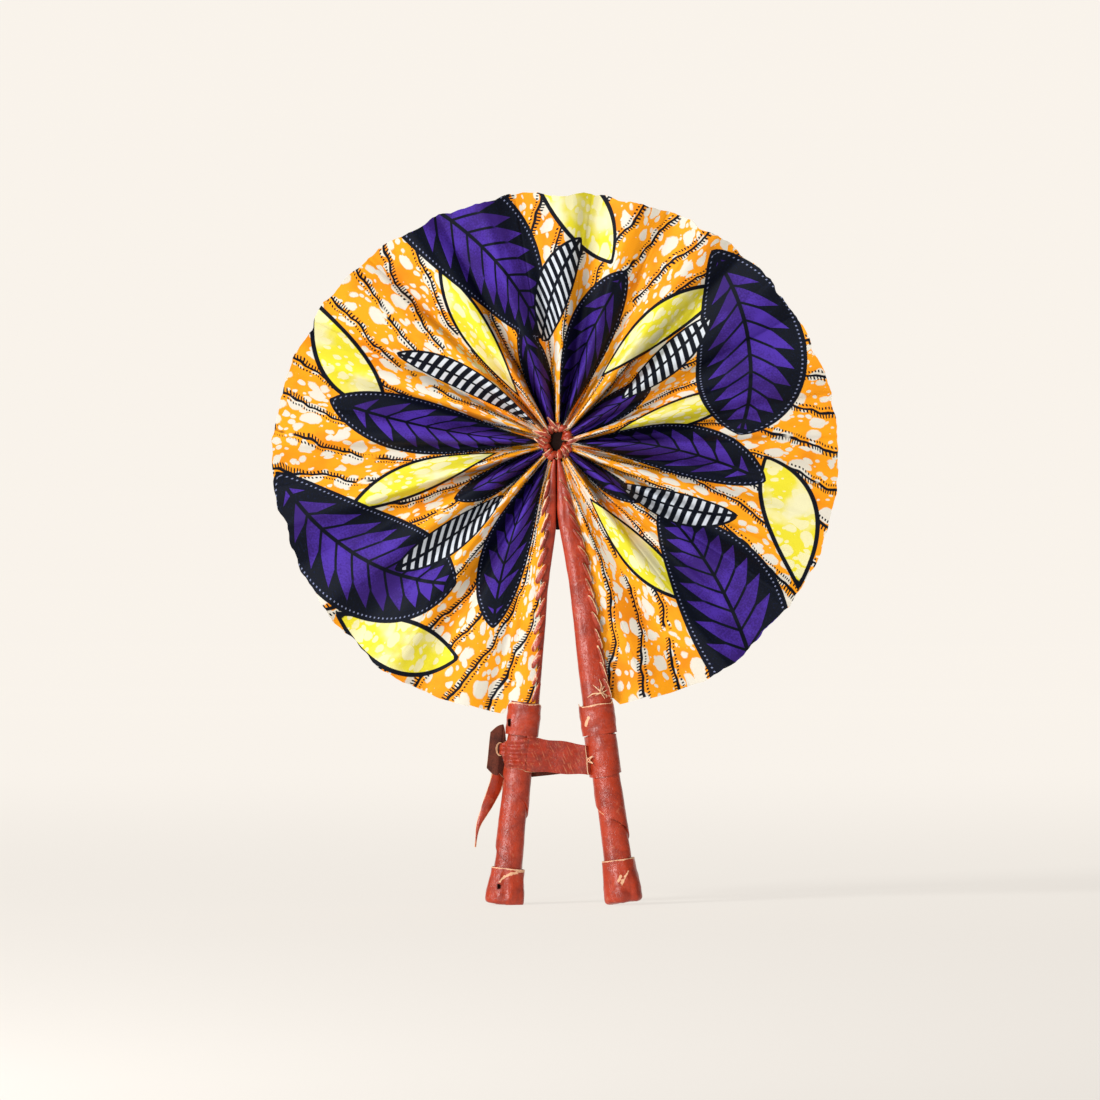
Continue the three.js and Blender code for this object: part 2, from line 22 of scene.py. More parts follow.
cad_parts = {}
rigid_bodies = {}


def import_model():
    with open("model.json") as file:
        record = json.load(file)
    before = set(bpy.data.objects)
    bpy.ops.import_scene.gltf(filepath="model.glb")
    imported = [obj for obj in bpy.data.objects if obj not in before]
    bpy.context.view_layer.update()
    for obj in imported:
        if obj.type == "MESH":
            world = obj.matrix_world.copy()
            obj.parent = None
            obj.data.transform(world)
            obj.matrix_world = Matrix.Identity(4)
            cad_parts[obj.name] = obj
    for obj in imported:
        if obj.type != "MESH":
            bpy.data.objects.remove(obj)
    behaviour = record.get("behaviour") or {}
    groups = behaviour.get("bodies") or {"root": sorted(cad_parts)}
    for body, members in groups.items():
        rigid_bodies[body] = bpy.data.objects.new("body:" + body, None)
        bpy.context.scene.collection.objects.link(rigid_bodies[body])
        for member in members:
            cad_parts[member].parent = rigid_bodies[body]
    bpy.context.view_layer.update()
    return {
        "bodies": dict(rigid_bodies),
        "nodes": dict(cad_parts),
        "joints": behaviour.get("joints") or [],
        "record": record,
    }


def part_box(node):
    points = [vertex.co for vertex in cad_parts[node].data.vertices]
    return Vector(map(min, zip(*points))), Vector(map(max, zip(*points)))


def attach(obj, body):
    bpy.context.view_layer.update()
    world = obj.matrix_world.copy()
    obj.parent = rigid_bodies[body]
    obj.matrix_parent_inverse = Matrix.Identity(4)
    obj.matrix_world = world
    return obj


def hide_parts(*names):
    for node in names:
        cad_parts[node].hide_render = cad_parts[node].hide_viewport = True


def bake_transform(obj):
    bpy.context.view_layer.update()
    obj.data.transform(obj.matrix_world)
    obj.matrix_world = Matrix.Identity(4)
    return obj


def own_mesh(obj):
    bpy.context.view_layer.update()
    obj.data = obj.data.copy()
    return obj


LOG = logging.getLogger("fan")
MM = 0.001
FRONT = (0.0, -1.0, 0.0)
UPRIGHT = (math.pi / 2, 0.0, 0.0)  # turns what faces up to face the front
PER_METRE = (1000.0, 1000.0, 1000.0)  # takes a shader's metres to millimetres
OBJECT_PLACE = 3  # the output of the coordinate node that gives a piece's own coordinates

Array = np.ndarray
Three = tuple[Array, Array, Array]
Piece = bpy.types.Object
Material = bpy.types.Material
Line = Sequence[tuple[float, float]]
Pucker = tuple[float, tuple[float, float, float], float]  # as the pucker function takes them


# Bench: the few modelling moves that every piece is made with.


def linear(colour: str) -> tuple[float, float, float, float]:
    """Turns an sRGB hex colour into the linear colour that shaders take.

    Args:
        colour: The colour, as # and six digits.

    Returns:
        Red, green, blue and a full alpha.
    """
    parts = [int(colour[i : i + 2], 16) / 255 for i in (1, 3, 5)]
    rgb = [p / 12.92 if p <= 0.04045 else ((p + 0.055) / 1.055) ** 2.4 for p in parts]
    return (rgb[0], rgb[1], rgb[2], 1.0)


def blend_in(low: float, high: float, value: Array) -> Array:
    """Rises smoothly from 0 at low to 1 at high."""
    t = np.clip((np.asarray(value, float) - low) / (high - low), 0, 1)
    return t * t * (3 - 2 * t)


def mixed(first: Any, last: Any, share: Any) -> Any:
    """Goes from the first value to the last one by a share."""
    return first + (last - first) * share


def ripple(at: Any, *waves: tuple[float, float, float]) -> Any:
    """Adds up waves, each given by its size, its pace and its start."""
    return sum(size * np.sin(pace * at + start) for size, pace, start in waves)


def in_metres(*sizes: float) -> tuple[float, ...]:
    """Turns millimetres into metres."""
    return tuple(size * MM for size in sizes)


def spline(points: Sequence[Sequence[float]], count: int) -> Array:
    """Draws a smooth curve through a few points.

    Args:
        points: The points, in order, with any number of values each.
        count: How many points the curve gets.

    Returns:
        The curve's points, one row each.
    """
    p = np.asarray(points, float)
    p = np.vstack([2 * p[0] - p[1], p, 2 * p[-1] - p[-2]])
    t = np.linspace(0, len(points) - 1, count)
    i = np.minimum(t.astype(int), len(points) - 2)
    f = (t - i)[:, None]
    a, b, c, d = p[i], p[i + 1], p[i + 2], p[i + 3]
    return 0.5 * (2 * b + (c - a) * f + (2 * a - 5 * b + 4 * c - d) * f**2 + (3 * b - a - 3 * c + d) * f**3)


def started(name: str) -> Piece:
    """Names the primitive that was just added and returns it."""
    bpy.context.object.name = bpy.context.object.data.name = name
    return bpy.context.object


def pick(piece: Piece) -> None:
    """Makes a piece the only one that is picked.

    Args:
        piece: The piece.
    """
    bpy.ops.object.select_all(action="DESELECT")
    piece.select_set(True)
    bpy.context.view_layer.objects.active = piece


@contextmanager
def editing(piece: Piece, picked: str = "SELECT") -> Iterator[None]:
    """Opens a piece for editing and closes it again.

    Args:
        piece: The piece.
        picked: What is done to all of its points first.

    Yields:
        Nothing; the piece is open until the block ends.
    """
    pick(piece)
    bpy.ops.object.mode_set(mode="EDIT")
    bpy.ops.mesh.select_all(action=picked)
    yield
    bpy.ops.object.mode_set(mode="OBJECT")


def turn_out() -> None:
    """Makes all faces of the piece that is open look outwards."""
    bpy.ops.mesh.select_all(action="SELECT")
    bpy.ops.mesh.normals_make_consistent(inside=False)


def pull_out(step: Sequence[float]) -> None:
    """Extrudes what is picked by a step, in metres."""
    bpy.ops.mesh.extrude_region_move(TRANSFORM_OT_translate={"value": step})


def points_of(piece: Piece) -> Array:
    """Reads a piece's points.

    Args:
        piece: The piece.

    Returns:
        The points, in metres, one row each.
    """
    found = np.empty(len(piece.data.vertices) * 3)
    piece.data.vertices.foreach_get("co", found)
    return found.reshape(-1, 3)


def set_points(piece: Piece, points: Array) -> None:
    """Moves a piece's points to new places, in metres."""
    piece.data.vertices.foreach_set("co", np.ascontiguousarray(points, float).ravel())
    piece.data.update()


def lay_grid(name: str, columns: int, rows: int) -> tuple[Piece, Array, Array]:
    """Adds a flat grid that a sheet is made from.

    Args:
        name: The piece's name.
        columns: Cells across the sheet.
        rows: Cells along the sheet.

    Returns:
        The sheet, one layer thick, and each point's share across and along it.
    """
    bpy.ops.mesh.primitive_grid_add(x_subdivisions=columns, y_subdivisions=rows, size=2.0)
    piece = started(name)
    flat = (points_of(piece) + 1) / 2
    return piece, flat[:, 0], flat[:, 1]


def lay_ribbon(
    name: str,
    centres: Array,
    out: Any,
    widths: Any,
    crown: float = 0.0,
    columns: int = 8,
    edges: tuple[float, float] = (0.6, 0.6),
) -> Piece:
    """Lays a strip along a path.

    Args:
        name: The piece's name.
        centres: The path's points, in millimetres.
        out: The direction that the strip's face looks in, for all of it or at each point.
        widths: The strip's width, for all of it or at each point.
        crown: How far the strip's middle stands above its edges.
        columns: Cells across the strip.
        edges: How far the bareness of its two cut edges goes.

    Returns:
        The strip, one layer thick.
    """
    along = np.gradient(centres, axis=0)
    across = np.cross(along, out)
    across /= np.linalg.norm(across, axis=1)[:, None]
    face = np.cross(across, along)
    face /= np.linalg.norm(face, axis=1)[:, None]
    half = np.broadcast_to(np.asarray(widths, float) / 2, len(centres))
    piece, a, b = lay_grid(name, columns, len(centres) - 1)
    i = np.rint(b * (len(centres) - 1)).astype(int)
    side = 2 * a - 1
    lift = crown * (1 - side**2)
    set_points(piece, (centres[i] + across[i] * (side * half[i])[:, None] + face[i] * lift[:, None]) * MM)
    for share, reach in zip((a, 1 - a), edges):
        if reach > 0:
            bare(piece, share * 2 * half[i], reach)
    return piece


@dataclass(frozen=True)
class Ring:
    """One section of a sleeve that is raised along a stick."""

    station: float
    middle: float
    half: float
    depth: float

    def resize(self, across: float, deep: float) -> None:
        """Scales what is picked about the section's middle."""
        centre = in_metres(self.middle, 0, -self.station)
        bpy.ops.transform.resize(value=(across, deep, 1), center_override=centre)


def raise_sleeve(name: str, rings: Sequence[Ring], squareness: float, floor: Sequence[float] = ()) -> Piece:
    """Extrudes a rounded ring from section to section, straight down from the origin.

    Args:
        name: The piece's name.
        rings: The sections, from the top down.
        squareness: Exponent of the sections' outline, 2 for an ellipse.
        floor: Steps in which the last section is drawn in and closed, each as a share of the one before.

    Returns:
        The sleeve, one layer thick.
    """
    bpy.ops.mesh.primitive_circle_add(vertices=48, radius=1.0, fill_type="NOTHING")
    piece = started(name)
    circle = points_of(piece)
    set_points(piece, np.sign(circle) * np.abs(circle) ** (2 / squareness))
    first = rings[0]
    with editing(piece):
        bpy.ops.transform.resize(value=(*in_metres(first.half, first.depth), 1), center_override=(0, 0, 0))
        bpy.ops.transform.translate(value=in_metres(first.middle, 0, -first.station))
        for last, ring in zip(rings, rings[1:]):
            pull_out(in_metres(ring.middle - last.middle, 0, last.station - ring.station))
            ring.resize(ring.half / last.half, ring.depth / last.depth)
        for share in floor:
            bpy.ops.mesh.extrude_region_move()
            rings[-1].resize(share, share)
        if floor:
            bpy.ops.mesh.merge(type="CENTER")
        turn_out()
    return piece


def work(piece: Piece, kind: str, **settings: Any) -> None:
    """Puts a modifier on a piece and applies it.

    Args:
        piece: The piece.
        kind: Blender's name for the modifier.
        settings: The modifier's own settings.
    """
    pick(piece)
    modifier = piece.modifiers.new(kind.lower(), kind)
    for setting, value in settings.items():
        setattr(modifier, setting, value)
    bpy.ops.object.modifier_apply(modifier=modifier.name)


def soften(piece: Piece) -> None:
    """Rounds a piece by subdividing it."""
    work(piece, "SUBSURF", levels=1, render_levels=1)


def pucker(piece: Piece, amount: float, size: Sequence[float], seed: float) -> None:
    """Moves a piece's skin in and out a little, as hand work leaves it.

    Args:
        piece: The piece.
        amount: The most that a point moves.
        size: Length of a pucker along each axis.
        seed: Picks the set of puckers.
    """
    points = points_of(piece)
    normals = np.array([v.normal for v in piece.data.vertices])
    places = points / MM / np.asarray(size, float) + seed
    lift = np.array([noise.noise(Vector(p)) for p in places])
    set_points(piece, points + normals * (lift * amount * MM)[:, None])


def dress(piece: Piece, *materials: Material) -> None:
    """Gives a piece its materials.

    Args:
        piece: The piece.
        materials: That of its face first, that of its cut edges second.
    """
    piece.data.materials.clear()
    for material in materials:
        piece.data.materials.append(material)


def clad(
    piece: Piece,
    thickness: float,
    *materials: Material,
    puckers: Sequence[Pucker] = (),
    offset: float = 0.0,
    even: bool = True,
) -> None:
    """Dresses a one-layer piece, puckers it and gives it its thickness.

    Args:
        piece: The piece.
        thickness: Its thickness.
        materials: That of its face first, that of its cut edges second.
        puckers: Its puckers.
        offset: -1 to thicken inwards, 0 to both sides.
        even: Whether the walls stay parallel at corners; not for thongs that double back.
    """
    dress(piece, *materials)
    for each in puckers:
        pucker(piece, *each)
    walls = {"offset": offset, "use_even_offset": even, "thickness_clamp": 1.0 if even else 0.0}
    work(piece, "SOLIDIFY", thickness=thickness * MM, material_offset_rim=1, **walls)


def cut_off(piece: Piece, station: float, above: bool) -> None:
    """Bisects an upright piece and throws one side away.

    Args:
        piece: The piece.
        station: Where it is cut, down from the origin.
        above: Whether the upper side goes.
    """
    cut = {"plane_co": in_metres(0, 0, -station), "plane_no": (0, 0, 1)}
    with editing(piece):
        bpy.ops.mesh.bisect(**cut, clear_outer=above, clear_inner=not above)


def bare(piece: Piece, distance: Array, reach: float, most: Any = 1.0) -> None:
    """Marks where a skin's dye is gone, or where it is painted dark as painted shade, fading out with the
    distance from there.

    Args:
        piece: The piece.
        distance: Each point's distance from the bare place, in millimetres.
        reach: How far the bareness goes.
        most: How bare the skin is there, from 0 to 1; below 0 it is painted dark instead, as painted shade in
            lapped seams and holes.
    """
    found = piece.data.attributes.get("bare") or piece.data.attributes.new("bare", "FLOAT", "POINT")
    values = np.empty(len(piece.data.vertices), np.float32)
    found.data.foreach_get("value", values)
    shown = most * np.clip(1 - np.asarray(distance) / reach, 0, 1)
    stronger = np.abs(shown) > np.abs(values)
    found.data.foreach_set("value", np.where(stronger, shown, values).astype(np.float32))


@dataclass(frozen=True)
class Mark:
    """A scar, or a hole painted dark as painted shade, in the front of a skin."""

    line: Line  # its places across the stick and up from the hub
    reach: float
    most: float = 1.0  # below 0 for a hole painted dark, as painted shade
    behind: float = 100.0  # keeps it off the back

    def put_on(self, piece: Piece) -> None:
        """Marks an upright piece.

        Args:
            piece: The piece.
        """
        x, y, z = points_of(piece).T / MM
        path = spline(self.line, 24)
        apart = np.hypot(x[:, None] - path[None, :, 0], z[:, None] - path[None, :, 1]).min(axis=1)
        bare(piece, apart + self.behind * (y > 0), self.reach, self.most)


def settle(piece: Piece, place: Matrix) -> None:
    """Puts a piece in its place and writes that place into its mesh.

    Args:
        piece: The piece.
        place: Its place.
    """
    pick(piece)
    piece.matrix_world = place
    bpy.ops.object.transform_apply(location=True, rotation=True, scale=True)


def hand_over(piece: Piece, body: str | None, slot: str, *nodes: str, smooth: float = 40.0) -> None:
    """Smooths a finished piece and ties it to the frame.

    Args:
        piece: The piece.
        body: The body that it rides on, or None where it lies between two and is left untied.
        slot: The record's material slot; not used.
        nodes: The nodes that it stands for.
        smooth: Edges sharper than this stay sharp.
    """
    pick(piece)
    bpy.ops.object.shade_smooth_by_angle(angle=math.radians(smooth))
    if body is not None:
        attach(piece, body)
    if nodes:
        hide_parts(*nodes)
    LOG.info("%s: %d points", piece.name, len(piece.data.vertices))


# Finishes.


class Board:
    """Node board of one material."""

    usual = {"Mix": {"data_type": "RGBA"}, "MapRange": {"interpolation_type": "SMOOTHSTEP"}}

    def __init__(self, name: str) -> None:
        """Starts an empty board.

        Args:
            name: The material's name.
        """
        self.material = bpy.data.materials.new(name)
        self.material.use_nodes = True
        self.tree = self.material.node_tree
        self.tree.nodes.clear()

    def add(self, kind: str, *inputs: Any, out: int = 0, **settings: Any) -> Any:
        """Adds a node with its settings and links.

        Args:
            kind: The node's type without its first words, or the name of a sum in capitals.
            inputs: Values, hex colours or sockets for the inputs in use, or pairs of a name and one of them.
            out: Which of the outputs in use is wanted.
            settings: The node's own settings, where they aren't the usual ones.

        Returns:
            The wanted output, or None for a node that has none.
        """
        if kind.isupper():
            kind, settings["operation"] = "Math", kind
        node = self.tree.nodes.new("ShaderNode" + kind)
        for setting, value in {**self.usual.get(kind, {}), **settings}.items():
            setattr(node, setting, value)
        in_use = [socket for socket in node.inputs if socket.enabled]
        for place, value in enumerate(inputs):
            if isinstance(value, tuple) and len(value) == 2:
                place, value = value
            socket = node.inputs[place] if isinstance(place, str) else in_use[place]
            if isinstance(value, bpy.types.NodeSocket):
                self.tree.links.new(value, socket)
            elif value is not None:
                socket.default_value = linear(value) if isinstance(value, str) else value
        given = [socket for socket in node.outputs if socket.enabled]
        return given[out] if given else None


class Motif(Enum):
    """Shapes of the cloth's print, by the attribute that places each on the cloth."""

    POD = "pod_print"
    BAR = "bar_print"
    LOZENGE = "lozenge_print"


@dataclass(frozen=True)
class Placing:
    """Where one printed shape lies on the flat cloth."""

    motif: Motif
    along: float  # its middle along the cloth, at the rim
    out: float  # its middle out from the hub
    length: float
    width: float
    turn: float  # off straight out
    fullness: float = 0.72  # exponent of a rounded shape's outline; a lozenge's is 1
    taper: float = 0.22

    def lay(self, along: Array, out: Array) -> Three:
        """Measures the shape at points of the cloth.

        Args:
            along: Places along the cloth.
            out: Places out from the hub.

        Returns:
            How far inside its edge each point lies, and where along and across the shape it is.
        """
        turn = math.radians(self.turn)
        x, y = along - self.along, out - self.out
        run = x * math.sin(turn) + y * math.cos(turn)
        side = x * math.cos(turn) - y * math.sin(turn)
        share = run / (self.length / 2)
        inside = np.clip(1 - share**2, 0, None)
        power = 1.0 if self.motif is Motif.LOZENGE else self.fullness
        edge = self.width / 2 * inside**power * (1 - self.taper * share) - np.abs(side)
        past = np.abs(share) > 1
        edge[past] = -np.hypot((np.abs(share[past]) - 1) * self.length / 2, side[past])
        return edge, run, side


LAYOUT = {  # the printed shapes, as they fall on the length of cloth in the leaf
    Motif.LOZENGE: (
        (60, 128, 74, 30, 72), (152, 66, 90, 32, -14), (236, 112, 78, 28, 40), (318, 64, 84, 30, 8),
        (418, 118, 82, 31, -48), (506, 76, 92, 30, 22), (592, 60, 76, 30, -10), (668, 122, 80, 30, 60),
        (756, 66, 86, 32, -18),
    ),
    Motif.POD: (
        (28, 46, 104, 56, -18), (112, 112, 132, 60, 64), (110, 18, 72, 58, 8), (202, 56, 118, 58, 10),
        (352, 108, 138, 62, -30), (368, 18, 78, 62, -6), (446, 42, 100, 60, 16), (560, 106, 124, 60, -74),
        (548, 16, 70, 66, 0), (632, 52, 112, 58, 20), (730, 116, 130, 60, 24), (716, 14, 66, 52, -8),
    ),
    Motif.BAR: (
        (84, 66, 72, 30, 14), (272, 48, 88, 30, -20), (404, 74, 66, 30, 34), (536, 66, 66, 28, -12),
        (694, 64, 70, 30, -26),
    ),
}


@dataclass(frozen=True)
class WaxPrint:
    """Plain-weave cotton, printed with wax resist on both faces and calendered.

    The resist leaves pale bubbles with soft edges in the dyed ground, the printed shapes have crisp dark
    outlines, and the calender gives a faint shine.
    """

    ground: str = "#F09A04"
    ground_deep: str = "#DE8000"
    bare: str = "#D6D0C2"
    ink: str = "#040916"
    ink_worn: str = "#0E1834"
    pod: str = "#46299A"
    pod_deep: str = "#32196A"
    pod_dot: str = "#7A82A2"
    bar: str = "#C6CCD4"
    accent: str = "#DDD12C"
    accent_pale: str = "#E2DDB0"
    sway: tuple[float, float] = (18.0, 9.0)  # length and reach of the print's unevenness
    cloud: float = 26.0
    bubble: tuple[float, float] = (8.0, 12.5)
    fleck: tuple[float, float] = (3.4, 5.6)
    line_pitch: float = 19.0
    line_width: float = 1.5
    line_wave: tuple[float, float] = (33.0, 13.0)  # length, for each radian, and reach
    tick_pitch: float = 1.6
    tick_length: float = 2.3
    dot_row: float = 2.4  # from the line's middle
    outline: float = 2.5
    bleed: float = 0.2  # how far the dye runs at a shape's edge
    barb_pitch: float = 5.5
    vein_pitch: float = 11.0
    border_pitch: float = 2.3
    bar_pitch: float = 5.4
    thread: float = 0.9  # drawn coarser than the real 0.35, so that it shows

    def print_on(self, piece: Piece, along: Array, out: Array) -> None:
        """Writes the print onto a piece of cloth, as attributes that the shader draws from.

        Args:
            piece: The piece of cloth.
            along: Each point's place along the flat cloth.
            out: Each point's place out from the hub.
        """
        for motif in Motif:
            best = np.full((len(along), 3), -1000.0)
            for row in LAYOUT[motif]:
                laid = np.stack(Placing(motif, *row).lay(along, out), axis=1)
                nearer = laid[:, 0] > best[:, 0]
                best[nearer] = laid[nearer]
            attribute = piece.data.attributes.new(motif.value, "FLOAT_VECTOR", "POINT")
            attribute.data.foreach_set("vector", best.astype(np.float32).ravel())

    def material(self) -> Material:
        """Builds the cloth's material.

        Returns:
            The material.
        """
        b = Board("wax_printed_cotton")
        length, reach = self.sway
        cut = b.add("VectorMath", b.add("UVMap", uv_map="cut"), PER_METRE, operation="MULTIPLY")
        drift = b.add("TexNoise", ("Vector", cut), ("Scale", 1 / length), ("Detail", 2.0), out=1)
        drift = b.add("VectorMath", drift, (0.5, 0.5, 0.5), operation="SUBTRACT")
        loose = b.add("VectorMath", drift, (reach, reach, 0.0), cut, operation="MULTIPLY_ADD")
        fibre = b.add("TexNoise", ("Vector", cut), ("Scale", 0.9), ("Detail", 4.0))
        cloud = b.add("TexNoise", ("Vector", cut), ("Scale", 1 / self.cloud), ("Detail", 3.0))
        bubble = self._bubbles(b, loose, fibre)
        deep = b.add("MapRange", cloud, 0.42, 0.72)
        colour = b.add("Mix", deep, self.ground, self.ground_deep)
        colour = b.add("Mix", bubble, colour, self.bare)
        colour = self._lines(b, colour, loose, cloud)
        colour = self._lozenges(b, colour, bubble, cloud)
        colour = self._pods(b, colour, fibre, cloud)
        colour = self._bars(b, colour)
        faded = b.add("HueSaturation", 0.5, 0.97, b.add("MapRange", fibre, 0.1, 0.4), 0.25, colour)
        ways = b.add("SeparateXYZ", cut).node.outputs[:2]
        threads = [b.add("SINE", b.add("MULTIPLY", way, 2 * math.pi / self.thread)) for way in ways]
        weave = b.add("MULTIPLY_ADD", b.add("ADD", *threads), 0.25, fibre)
        normal = b.add("Bump", ("Strength", 0.22), ("Distance", 0.00012), ("Height", weave))
        rough = b.add("MapRange", fibre, 0.2, 0.8, 0.56, 0.72, interpolation_type="LINEAR")
        sockets = {"Base Color": faded, "Roughness": rough, "Normal": normal, "Specular IOR Level": 0.12}
        b.add("OutputMaterial", b.add("BsdfPrincipled", *sockets.items()))
        return b.material

    @staticmethod
    def _beat(b: Board, along: Any, pitch: float) -> Any:
        """Gives how far places along a row lie from the middle of their step, in steps."""
        step = b.add("FRACT", b.add("MULTIPLY", along, 1 / pitch))
        return b.add("ABSOLUTE", b.add("SUBTRACT", step, 0.5))

    @staticmethod
    def _shape(b: Board, motif: Motif) -> Any:
        """Gives the distance inside a printed shape's edge, and the places along and across it."""
        return b.add("SeparateXYZ", b.add("Attribute", attribute_name=motif.value, out=1)).node.outputs

    def _bubbles(self, b: Board, loose: Any, fibre: Any) -> Any:
        """Draws the pale bubbles and flecks that the wax kept clear.

        Args:
            b: The board.
            loose: Places on the unevenly printed cloth.
            fibre: The cloth's fine unevenness.

        Returns:
            Their share.
        """
        found = []
        for (wide, long), share, most in ((self.bubble, -0.36, 0.20), (self.fleck, -0.62, -0.09)):
            cells = b.add("VectorMath", loose, (1 / wide, 1 / long, 0.0), operation="MULTIPLY")
            near = b.add("TexVoronoi", ("Vector", cells), ("Scale", 1.0), voronoi_dimensions="2D")
            size = b.add("SeparateXYZ", near.node.outputs["Color"])
            reach = b.add("MULTIPLY_ADD", fibre, 0.12, b.add("MULTIPLY_ADD", size, share, near))
            found.append(b.add("MapRange", reach, most, most - 0.07))
        return b.add("MAXIMUM", *found)

    def _lines(self, b: Board, below: Any, loose: Any, cloud: Any) -> Any:
        """Prints wavy lines with ticks on one side and dots on the other.

        Args:
            b: The board.
            below: The colour so far.
            loose: Places on the unevenly printed cloth.
            cloud: The dye's clouds, in which the lines fail.

        Returns:
            The colour with the lines.
        """
        x, y, _ = b.add("SeparateXYZ", loose).node.outputs
        length, reach = self.line_wave
        half, soft = self.line_width / 2, self.bleed
        bend = b.add("MULTIPLY", b.add("SINE", b.add("MULTIPLY", y, 1 / length)), reach)
        pitch = b.add("FRACT", b.add("MULTIPLY", b.add("ADD", x, bend), 1 / self.line_pitch))
        off = b.add("MULTIPLY", b.add("SUBTRACT", pitch, 0.5), self.line_pitch)
        line = b.add("MapRange", b.add("ABSOLUTE", off), half + soft, half - soft)
        tick = b.add("MapRange", self._beat(b, y, self.tick_pitch), 0.30, 0.18)
        outside = b.add("MapRange", off, 0.0, soft)
        side = b.add("MULTIPLY", outside, b.add("MapRange", off, half + self.tick_length, self.tick_length))
        row = b.add("ABSOLUTE", b.add("ADD", off, self.dot_row))
        dots = b.add("MULTIPLY", b.add("MapRange", row, 0.75, 0.45), tick)
        drawn = b.add("MAXIMUM", b.add("MAXIMUM", line, dots), b.add("MULTIPLY", tick, side))
        share = b.add("MULTIPLY", drawn, b.add("MapRange", cloud, 0.36, 0.40))
        return b.add("Mix", share, below, self.ink)

    def _lozenges(self, b: Board, below: Any, bubble: Any, cloud: Any) -> Any:
        """Prints bright pointed lozenges with a dark outline, bubbled and clouded as the ground is.

        Args:
            b: The board.
            below: The colour so far.
            bubble: The bubbles' share.
            cloud: The dye's clouds.

        Returns:
            The colour with the lozenges.
        """
        edge = self._shape(b, Motif.LOZENGE)[0]
        pale = b.add("MAXIMUM", b.add("MULTIPLY", bubble, 0.85), b.add("MapRange", cloud, 0.50, 0.68))
        fill = b.add("Mix", pale, self.accent, self.accent_pale)
        rim = b.add("MapRange", edge, self.outline + self.bleed, self.outline - self.bleed)
        inked = b.add("Mix", rim, fill, self.ink)
        return b.add("Mix", b.add("MapRange", edge, -self.bleed, self.bleed), below, inked)

    def _pods(self, b: Board, below: Any, fibre: Any, cloud: Any) -> Any:
        """Prints large dark pods: a dotted border, a barbed inner edge, a midrib and side veins.

        Args:
            b: The board.
            below: The colour so far.
            fibre: The cloth's fine unevenness.
            cloud: The dye's clouds.

        Returns:
            The colour with the pods.
        """
        edge, run, side = self._shape(b, Motif.POD)
        wide = b.add("ABSOLUTE", side)
        slant = b.add("MULTIPLY_ADD", wide, 0.75, run)
        barb = b.add("PINGPONG", slant, self.barb_pitch)
        inner = b.add("MULTIPLY_ADD", barb, -2.0, b.add("SUBTRACT", edge, 6.6))
        vein = b.add("MapRange", self._beat(b, slant, self.vein_pitch), 0.10, 0.06)
        vein = b.add("MULTIPLY", vein, b.add("MapRange", wide, 15.0, 12.0))
        rib = b.add("MapRange", wide, 1.3, 0.9)
        shade = b.add("MapRange", b.add("MULTIPLY_ADD", fibre, 0.5, cloud), 0.58, 0.88)
        dye = b.add("Mix", shade, self.pod, self.pod_deep)
        dye = b.add("Mix", b.add("MAXIMUM", vein, rib), dye, self.ink)
        border = b.add("Mix", b.add("MapRange", fibre, 0.5, 0.8), self.ink, self.ink_worn)
        row = b.add("MapRange", b.add("ABSOLUTE", b.add("SUBTRACT", edge, 2.6)), 0.6, 0.3)
        dot = b.add("MapRange", self._beat(b, run, self.border_pitch), 0.2, 0.1)
        border = b.add("Mix", b.add("MULTIPLY", row, dot), border, self.pod_dot)
        pod = b.add("Mix", b.add("MapRange", inner, -0.25, 0.25), border, dye)
        return b.add("Mix", b.add("MapRange", edge, -self.bleed, self.bleed), below, pod)

    def _bars(self, b: Board, below: Any) -> Any:
        """Prints dark spindles with slanting pale bars.

        Args:
            b: The board.
            below: The colour so far.

        Returns:
            The colour with the spindles.
        """
        edge, run, side = self._shape(b, Motif.BAR)
        slant = b.add("MULTIPLY_ADD", side, 0.45, run)
        bar = b.add("MapRange", self._beat(b, slant, self.bar_pitch), 0.24, 0.19)
        bar = b.add("MULTIPLY", bar, b.add("MapRange", edge, 1.5, 2.0))
        bar = b.add("MULTIPLY", bar, b.add("MapRange", b.add("ABSOLUTE", side), 0.9, 1.3))
        spindle = b.add("Mix", bar, self.ink, self.bar)
        return b.add("Mix", b.add("MapRange", edge, -self.bleed, self.bleed), below, spindle)


